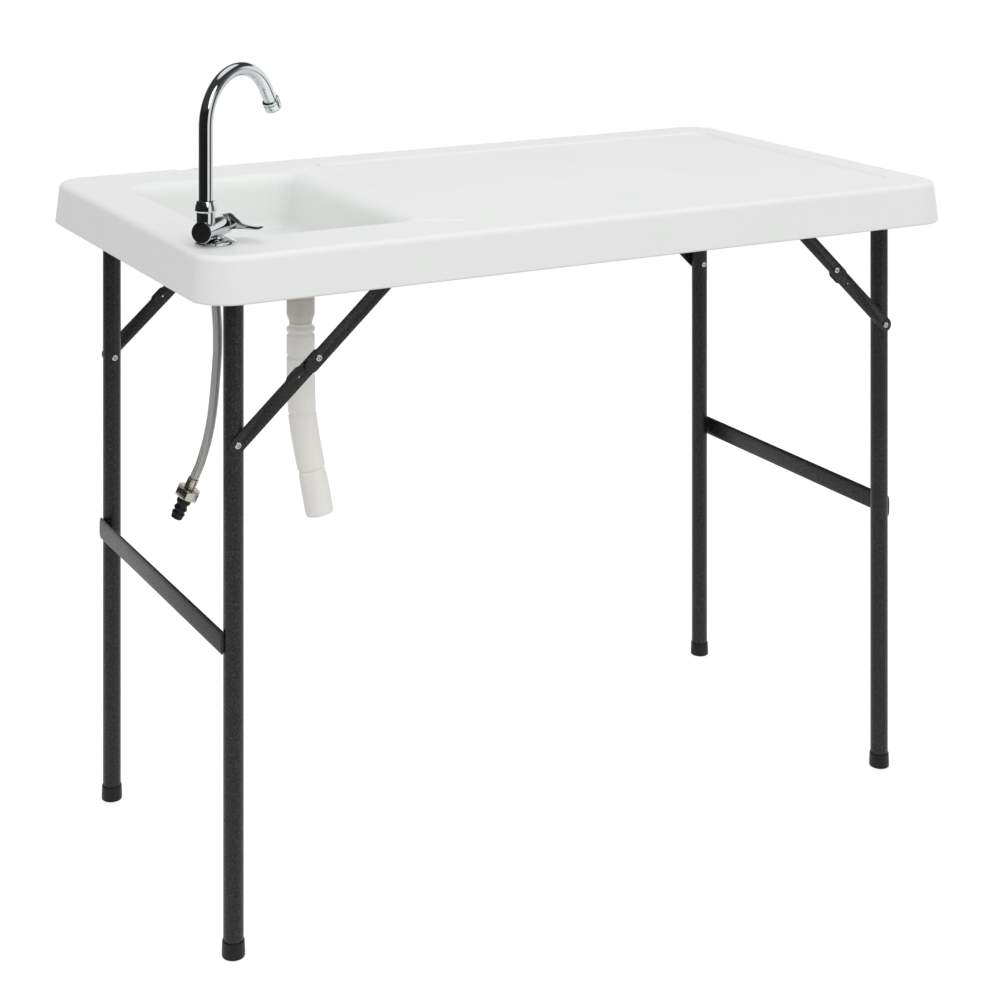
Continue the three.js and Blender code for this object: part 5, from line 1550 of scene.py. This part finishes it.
@dataclass
class Hardware:
    """Brackets, rivets and screws that every leg has, each modelled once and copied."""

    link_width: float = 20 * MM
    link_thickness: float = 2 * MM
    link_tail: float = 22 * MM  # how far an upper link runs on past its elbow
    rivet: float = 6 * MM
    rivet_head: float = 8.6 * MM
    head_rise: float = 1.2 * MM
    stop_ear: Triple = (24 * MM, 2.3 * MM, 4 * MM)  # length, rise and ramp
    ear_run: float = 10 * MM  # a stretch of the link's edge, so that the ear blends into it
    ear_round: float = 1.5 * MM
    ear_undercut: float = 0.4 * MM
    stop_hole: Pair = (33 * MM, 2.4 * MM)  # from the elbow, and its diameter
    stop_dent: Triple = (40 * MM, 4 * MM, 0.6 * MM)  # from the elbow, diameter and depth
    lower_inside: float = TUBE_RADIUS + GAP
    ear: Pair = (34 * MM, 2.25 * MM)  # width and thickness of a hinge bracket's ear
    hinge_flange: float = 11 * MM
    anchor: Pair = (17 * MM, 1.5 * MM)
    anchor_flange: float = 16 * MM
    anchor_pin: Triple = (6 * MM, 0.4 * MM, 1.4 * MM)  # diameter, chamfer, and its end inside the ear
    # Radius and height in millimetres
    anchor_head: tuple[Pair, ...] = ((0, 1), (4.2, 1), (4.2, 1.6), (3.4, 1.8), (1.6, 1.7), (0, 1.7))
    screw_outline: tuple[Pair, ...] = (
        (0, 3), (1.6, 3), (1.6, 0), (3.4, 0), (3.4, -0.8), (2.2, -2), (0, -2.2),
    )
    screw_cross: Triple = (1.8 * MM, 0.35 * MM, 1.2 * MM)  # half its length, half its width, and its floor
    push_outline: tuple[Pair, ...] = ((7.5, 0.3), (7.5, 0.9), (6.2, 1.9))
    push_height: float = 2.1 * MM

    def __post_init__(self) -> None:
        """Works out how the brace's layers follow each other outwards from the leg's middle."""
        self.head_inside = self.lower_inside + self.link_thickness + GAP
        self.upper_inside = self.head_inside + self.head_rise + GAP
        self.anchor_inside = self.upper_inside + self.link_thickness + GAP
        self.bracket_top = UNDERSIDE - GAP - PIVOT
        self.rivet_bore = self.rivet + 2 * GAP
        self.axle_bore = 2 * (AXLE_RADIUS + GAP)

    def bracket(self, name: str, size: Pair, reach: float, hole: float) -> Workpiece:
        """Builds a bracket: an ear with a round lower end and a flange along its top.

        Args:
            name: The piece's name.
            size: The bracket's width and its sheet's thickness.
            reach: How far the flange runs out past the ear's inner face.
            hole: Diameter of the hole on the folding axis, or 0 for none.

        Returns:
            The bracket, its ear's inner face on y = 0 and the axis at z = 0.
        """
        (width, thickness), top = size, self.bracket_top
        half = width / 2
        ear = [(half, top), (-half, top), *arc((0, 0), half, 180, 360, 24)]
        sheet = Workpiece.plate(name, ear, thickness).place(moved(y=thickness / 2))
        flange = Workpiece.block("flange", (-half, 0, top - thickness), (half, reach, top))
        sheet.combine(Joining.JOIN, flange)
        if hole:
            drill = Workpiece.cylinder("hole", hole, -OVERRUN, thickness + OVERRUN, sides=32).place(TO_Y)
            sheet.combine(Joining.CUT, drill)
        return sheet

    def hinge_bracket(self) -> Workpiece:
        """Builds the hinge bracket, which holds the axle rod beside a leg."""
        reach = self.ear[1] + self.hinge_flange
        return self.bracket("hinge_bracket", self.ear, reach, self.axle_bore).soften(0.4 * MM).smooth()

    def anchor_bracket(self) -> Workpiece:
        """Builds the brace's anchor with its pin, which carries the upper link."""
        tab = self.bracket("anchor_bracket", self.anchor, self.anchor_flange, 0)
        radius, (_, chamfer, end) = self.anchor_pin[0] / 2, self.anchor_pin
        tip = self.upper_inside - self.anchor_inside
        pin = Workpiece.turned("pin", [
            (0, tip), (radius - chamfer, tip), (radius, tip + chamfer), (radius, end), (0, end),
        ]).place(TO_Y)
        head = Workpiece.turned("head", rounded(scaled(self.anchor_head, MM, MM), 0.1 * MM, 2)).place(TO_Y)
        return tab.soften(0.4 * MM).combine(Joining.JOIN, pin, head).smooth()

    def ring_head(self, inner: float, outer: float) -> list[Pair]:
        """Returns the profile of a rolled rivet head with a hollow middle, from its rim to the axis.

        Args:
            inner: The height of the head's seat.
            outer: The height of its crown.

        Returns:
            Radius and height of each point.
        """
        radius, rise = self.rivet_head / 2, outer - inner
        chamfer, shoulder = 0.1 * MM, 0.7 * MM
        points = [
            (radius - chamfer, inner), (radius, inner + 0.35 * rise), (radius - shoulder, inner + 0.9 * rise),
            (radius * 0.68, outer), (radius * 0.52, inner + 0.8 * rise), (radius * 0.46, inner + 0.12 * rise),
            (radius * 0.3, inner + 0.1 * rise), (radius * 0.22, inner + 0.7 * rise), (0, inner + 0.8 * rise),
        ]
        return rounded(points, 0.35 * MM, 3)

    def leg_rivet(self) -> Workpiece:
        """Builds the rivet through a leg and its lower link, outwards along +Y."""
        seat, half, low = self.head_inside, self.rivet / 2, -TUBE_RADIUS - GAP
        near = [(across, 2 * low - up) for across, up in self.ring_head(low, low + self.head_rise)]
        profile = [*near[::-1], (half, low), (half, seat), *self.ring_head(seat, seat + self.head_rise)]
        return Workpiece.turned("leg_rivet", profile).place(TO_Y).smooth(math.radians(40))

    def elbow_rivet(self) -> Workpiece:
        """Builds the elbow rivet, whose shoulder stands on the lower link."""
        seat, half, rise = self.head_inside, self.rivet / 2, self.head_rise
        edge, head = self.rivet_head / 2, self.upper_inside + self.link_thickness + GAP
        shoulder = rounded([(0, seat), (edge, seat), (edge, seat + rise), (half, seat + rise)], 0.3 * MM, 3)
        profile = [*shoulder, (half, head), *self.ring_head(head, head + rise)]
        return Workpiece.turned("elbow_rivet", profile).place(TO_Y).smooth(math.radians(40))

    def link(self, name: str, outline: Sequence[Pair], holes: Sequence[Pair]) -> Workpiece:
        """Stamps a link from its outline and pierces its holes.

        Args:
            name: The piece's name.
            outline: The closed outline in the XZ plane.
            holes: Distance along the link and diameter of each hole.

        Returns:
            The link, its middle plane on y = 0.
        """
        reach = self.link_thickness / 2 + OVERRUN
        link = Workpiece.plate(name, outline, self.link_thickness)
        for along, diameter in holes:
            drill = Workpiece.cylinder("hole", diameter, -reach, reach, sides=32).place(TO_Y)
            link.combine(Joining.CUT, drill.place(moved(along)))
        return link.soften(0.4 * MM).smooth()

    def upper_link(self, length: float) -> Workpiece:
        """Builds an upper link, from its anchor along +X past the elbow."""
        half = self.link_width / 2
        end = length + self.link_tail - half
        outline = [*arc((0, 0), half, 90, 270, 20), *arc((end, 0), half, -90, 90, 20)]
        return self.link("upper_link", outline, [(0, self.rivet_bore), (length, self.rivet_bore)])

    def lower_link(self, length: float, ear_start: float) -> Workpiece:
        """Builds a lower link, from the leg along +X, with its stop ear on the +Z side.

        Args:
            length: From the leg's rivet to the elbow.
            ear_start: From the elbow back to the far end of the ear.

        Returns:
            The link, its middle plane on y = 0.
        """
        half = self.link_width / 2
        (reach, rise, ramp), start = self.stop_ear, length - ear_start
        stop, raised = start + reach, half + rise
        finish = max(length, stop)
        ear = rounded([
            (finish + MM, half), (stop, half), (stop - ramp, raised), (start + ramp, raised), (start, half),
            (start - self.ear_run, half),
        ], self.ear_round, 4)[1:]
        turn = 0.0
        if stop > length:
            turn = math.degrees(math.asin((stop - length) / half))
            ear = [(stop, half - self.ear_undercut), *ear]
        outline = [*arc((0, 0), half, 90, 270, 20), *arc((length, 0), half, -90, 90 - turn, 20), *ear]
        back, hole = self.stop_hole
        bores = [(0, self.rivet_bore), (length, self.rivet_bore), (length - back, hole)]
        link = self.link("lower_link", outline, bores)
        outside, (back, diameter, depth) = self.link_thickness / 2, self.stop_dent
        for low, high in ((-outside - OVERRUN, depth - outside), (outside - depth, outside + OVERRUN)):
            dent = Workpiece.cylinder("dent", diameter, low, high, sides=24).place(TO_Y)
            link.combine(Joining.CUT, dent.place(moved(length - back)))
        return link.smooth()

    def screw(self) -> Workpiece:
        """Builds a pan-head screw, its seat at z = 0 and its head below, with a cross recess."""
        outline = scaled(self.screw_outline, MM, MM)
        head = Workpiece.turned("screw", rounded(outline, 0.6 * MM, 3), 24)
        reach, half, floor = self.screw_cross
        low = outline[-1][1] - OVERRUN
        cross = Workpiece.block("slot", (-reach, -half, low), (reach, half, -floor))
        cross.combine(Joining.JOIN, Workpiece.block("slot", (-half, -reach, low), (half, reach, -floor)))
        return head.combine(Joining.CUT, cross).smooth()

    def push_nut(self) -> Workpiece:
        """Builds the spring cap that keeps an axle rod in its brackets, outwards along +Y."""
        bore, outside = AXLE_RADIUS + GAP, scaled(self.push_outline, MM, MM)
        profile = rounded([(bore, GAP), *outside, (bore, self.push_height)], 0.3 * MM, 2, closed=True)
        return Workpiece.turned("push_nut", [*profile, profile[0]], 32).place(TO_Y).smooth()


@dataclass
class LegFrame:
    """One folding leg frame with its braces, brackets and feet."""

    name: str
    inwards: int  # 1 where the table lies towards +X
    leg_x: float
    bar_height: float
    brace_drop: float
    brace_reach: float
    ear_start: float  # from the elbow down the lower link to the far end of its stop ear
    hardware: Hardware
    tube_wall: float = 1.2 * MM
    top_rise: float = 8 * MM
    foot: Triple = (28.6 * MM, 27.4 * MM, 20 * MM)  # diameter at the floor and at the top, height
    foot_floor: float = 4 * MM
    foot_lip: Pair = (0.5 * MM, 0.8 * MM)
    tread: float = 0.8 * MM  # depth of the hollow in the tread
    groove: Triple = (2.2 * MM, 3.2 * MM, 4.2 * MM)  # heights of the groove above the tread
    groove_depth: float = 0.4 * MM
    bar: Triple = (29 * MM, 5 * MM, 456 * MM)  # height, thickness and length
    bar_shares: tuple[Pair, ...] = ((1, 0.3), (0.86, 0.7), (0.5, 0.96), (0, 1))  # a quarter of its section
    axle_out: float = 4.75 * MM  # how far the axle rod stands out past the tube
    axle_chamfer: float = 0.8 * MM
    screw_shares: Pair = (0.33, 0.55)  # a hinge screw's place along the ear's width and out on the flange
    anchor_screw: float = 3.7 * MM  # from the anchor's ear out to its screw

    def __post_init__(self) -> None:
        """Works out the brace's lengths and its lean."""
        span = math.hypot(self.brace_drop, self.brace_reach)
        self.lower_length = (span - self.brace_reach + self.brace_drop) / 2
        self.upper_length = span - self.lower_length
        self.lean = math.atan2(self.brace_drop, self.brace_reach)
        self.middle = -self.inwards * FRAME_SHIFT

    def tube(self) -> Workpiece:
        """Builds a leg's steel tube, open at both ends, pierced for the axle and the rivet."""
        bottom, top = self.foot_floor + GAP, PIVOT + self.top_rise
        tube = Workpiece.cylinder("leg_tube", 2 * TUBE_RADIUS, bottom, top, FINE_SIDES)
        inside = 2 * (TUBE_RADIUS - self.tube_wall)
        hollow = Workpiece.cylinder("inside", inside, bottom - OVERRUN, top + OVERRUN, FINE_SIDES)
        tube.combine(Joining.CUT, hollow)
        across, kit = TUBE_RADIUS + OVERRUN, self.hardware
        for height, diameter in ((PIVOT, kit.axle_bore), (PIVOT - self.brace_drop, kit.rivet_bore)):
            drill = Workpiece.cylinder("hole", diameter, -across, across, sides=32).place(TO_Y)
            tube.combine(Joining.CUT, drill.place(moved(z=height)))
        return tube.smooth()

    def foot_cap(self) -> Workpiece:
        """Builds a foot cap: a tapered cup with a soft tread and a rolled lip."""
        low, high, height = self.foot[0] / 2, self.foot[1] / 2, self.foot[2]
        bore, waist = TUBE_RADIUS + GAP, low - self.groove_depth
        (inwards, down), (below, middle, above) = self.foot_lip, self.groove
        profile = [
            (0, self.tread), (low * 0.62, self.tread), (low * 0.68, 0), (waist, 0), (low, below),
            (waist, middle), (low, above), (high, height - down), (high - inwards, height),
            (bore, height), (bore, self.foot_floor), (0, self.foot_floor),
        ]
        return Workpiece.turned("foot_cap", rounded(profile, 0.7 * MM, 3), FINE_SIDES).smooth()

    def cross_bar(self) -> Workpiece:
        """Builds the cross bar: a tube pressed flat, its long edges rounded."""
        height, thickness, length = self.bar
        quarter = scaled(self.bar_shares, thickness / 2, height / 2)
        back = quarter[-2::-1]
        corners = [
            (side * across, rise * up)
            for side, rise, part in ((-1, -1, quarter), (1, -1, back), (1, 1, quarter), (-1, 1, back))
            for across, up in part
        ]
        outline = rounded(corners, 3 * MM, 4, closed=True)
        bar = Workpiece.plate(f"{self.name}_cross_bar_pressed", outline, length)
        return bar.soften(0.5 * MM, angle=60).smooth()

    def axle(self) -> Workpiece:
        """Builds the axle rod with chamfered ends."""
        reach = LEG_SPREAD / 2 + TUBE_RADIUS + GAP + self.axle_out
        chamfer, radius = self.axle_chamfer, AXLE_RADIUS
        profile = [
            (0, -reach), (radius - chamfer, -reach), (radius, chamfer - reach), (radius, reach - chamfer),
            (radius - chamfer, reach), (0, reach),
        ]
        return Workpiece.turned(f"{self.name}_axle_rod_turned", profile, 32).place(TO_Y).smooth()

    def build_side(self, place: str, outwards: int, patterns: dict[str, Workpiece]) -> None:
        """Builds one leg with its brace and brackets.

        Args:
            place: "front" or "back".
            outwards: -1 at the front, 1 at the back.
            patterns: The pieces to copy, by kind.
        """
        prefix, kit = f"{self.name}_{place}", self.hardware
        leg_y = self.middle + outwards * LEG_SPREAD / 2
        floor = moved(self.leg_x, leg_y)
        mirror = Matrix.Diagonal((1, outwards, 1, 1))
        pivot = moved(self.leg_x, leg_y, PIVOT)
        anchor_x = self.inwards * self.brace_reach

        def set_copy(kind: str, node: str, matrix: Matrix, finish: Finish) -> None:
            """Copies a pattern to its place, where it stands for a node."""
            piece = patterns[kind].copied(f"{prefix}_{node}_made", matrix)
            hand_over(piece, finish, [f"{prefix}_{node}"])

        set_copy("tube", "leg", floor, HAMMERTONE)
        set_copy("foot", "foot", floor, BLACK_PLASTIC)
        ear = moved(0, outwards * (TUBE_RADIUS + GAP))
        set_copy("hinge", "hinge_bracket", pivot @ ear @ mirror, HAMMERTONE)

        rise = -self.lean if self.inwards > 0 else math.pi + self.lean
        drop = pivot @ moved(z=-self.brace_drop)
        lower_y = outwards * (kit.lower_inside + kit.link_thickness / 2)
        upper_y = outwards * (kit.upper_inside + kit.link_thickness / 2)
        lower = drop @ moved(y=lower_y) @ Matrix.Rotation(rise, 4, "Y")
        set_copy("lower", "lower_link", lower, HAMMERTONE)
        set_copy("rivet", "leg_rivet", drop @ mirror, ZINC)
        upper = pivot @ moved(anchor_x, upper_y) @ Matrix.Rotation(rise + math.pi, 4, "Y")
        set_copy("upper", "upper_link", upper, HAMMERTONE)
        reach = self.lower_length
        elbow_x = self.inwards * reach * math.cos(self.lean)
        elbow = moved(elbow_x, 0, reach * math.sin(self.lean))
        set_copy("elbow", "elbow_rivet", drop @ elbow @ mirror, ZINC)
        anchor = pivot @ moved(anchor_x, outwards * kit.anchor_inside)
        set_copy("anchor", "anchor_bracket", anchor @ mirror, HAMMERTONE)

        hinge_seat = kit.bracket_top - kit.ear[1] - GAP / 2
        along, out = self.screw_shares[0] * kit.ear[0], self.screw_shares[1] * kit.hinge_flange
        hinge_y = outwards * (TUBE_RADIUS + GAP + kit.ear[1] + out)
        anchor_seat = kit.bracket_top - kit.anchor[1] - GAP / 2
        anchor_y = outwards * (kit.anchor_inside + kit.anchor[1] + self.anchor_screw)
        seats = [
            (-along, hinge_y, hinge_seat), (along, hinge_y, hinge_seat), (anchor_x, anchor_y, anchor_seat),
        ]
        for number, seat in enumerate(seats, 1):
            screw = patterns["screw"].copied(f"{prefix}_screw_{number}", pivot @ Matrix.Translation(seat))
            hand_over(screw, ZINC, body="root")
        cap = moved(0, outwards * (TUBE_RADIUS + GAP + kit.ear[1]))
        nut = patterns["push"].copied(f"{prefix}_push_nut", pivot @ cap @ mirror)
        hand_over(nut, ZINC, body=BODY_OF[f"{self.name}_axle_rod"])

    def build(self) -> None:
        """Builds the frame's pieces and both of its sides."""
        kit = self.hardware
        patterns = {
            "tube": self.tube(), "foot": self.foot_cap(), "hinge": kit.hinge_bracket(),
            "lower": kit.lower_link(self.lower_length, self.ear_start), "rivet": kit.leg_rivet(),
            "upper": kit.upper_link(self.upper_length), "elbow": kit.elbow_rivet(),
            "anchor": kit.anchor_bracket(), "screw": kit.screw(), "push": kit.push_nut(),
        }
        for place, outwards in (("front", -1), ("back", 1)):
            self.build_side(place, outwards, patterns)
        for pattern in patterns.values():
            pattern.discard()
        middle = moved(self.leg_x, self.middle, PIVOT)
        hand_over(self.axle().place(middle), ZINC, [f"{self.name}_axle_rod"])
        bar_x = self.leg_x - self.inwards * (TUBE_RADIUS + GAP + self.bar[1] / 2)
        bar = self.cross_bar().place(moved(bar_x, self.middle, self.bar_height))
        hand_over(bar, HAMMERTONE, [f"{self.name}_cross_bar"])


def dress_hidden_nodes() -> None:
    """Gives the nodes that keep their own mesh a finish."""
    finishes = {"faucet_cartridge": NICKEL, "faucet_deck_washer": RUBBER}
    for name, finish in finishes.items():
        materials = frame["nodes"][name].data.materials
        materials.clear()
        materials.append(finish.material())
        log.info("%s: kept, %s", name, finish.label)


def main() -> None:
    """Builds the table in order: studio, hoses, top, drain, faucet and leg frames."""
    logging.basicConfig(level=logging.INFO, format="%(message)s")
    hardware = Hardware()
    parts = [
        Studio(), WaterHose(), DrainHose(), TableTop(), Drain(), Faucet(),
        LegFrame("left", 1, -507.4 * MM, 383.5 * MM, 205.5 * MM, 231 * MM, 48 * MM, hardware),
        LegFrame("right", -1, 521.55 * MM, 376.5 * MM, 183.5 * MM, 189.5 * MM, 20 * MM, hardware),
    ]
    for part in parts:
        part.build()
    dress_hidden_nodes()
    log.info("sizes written")


if __name__ == "__main__":
    main()
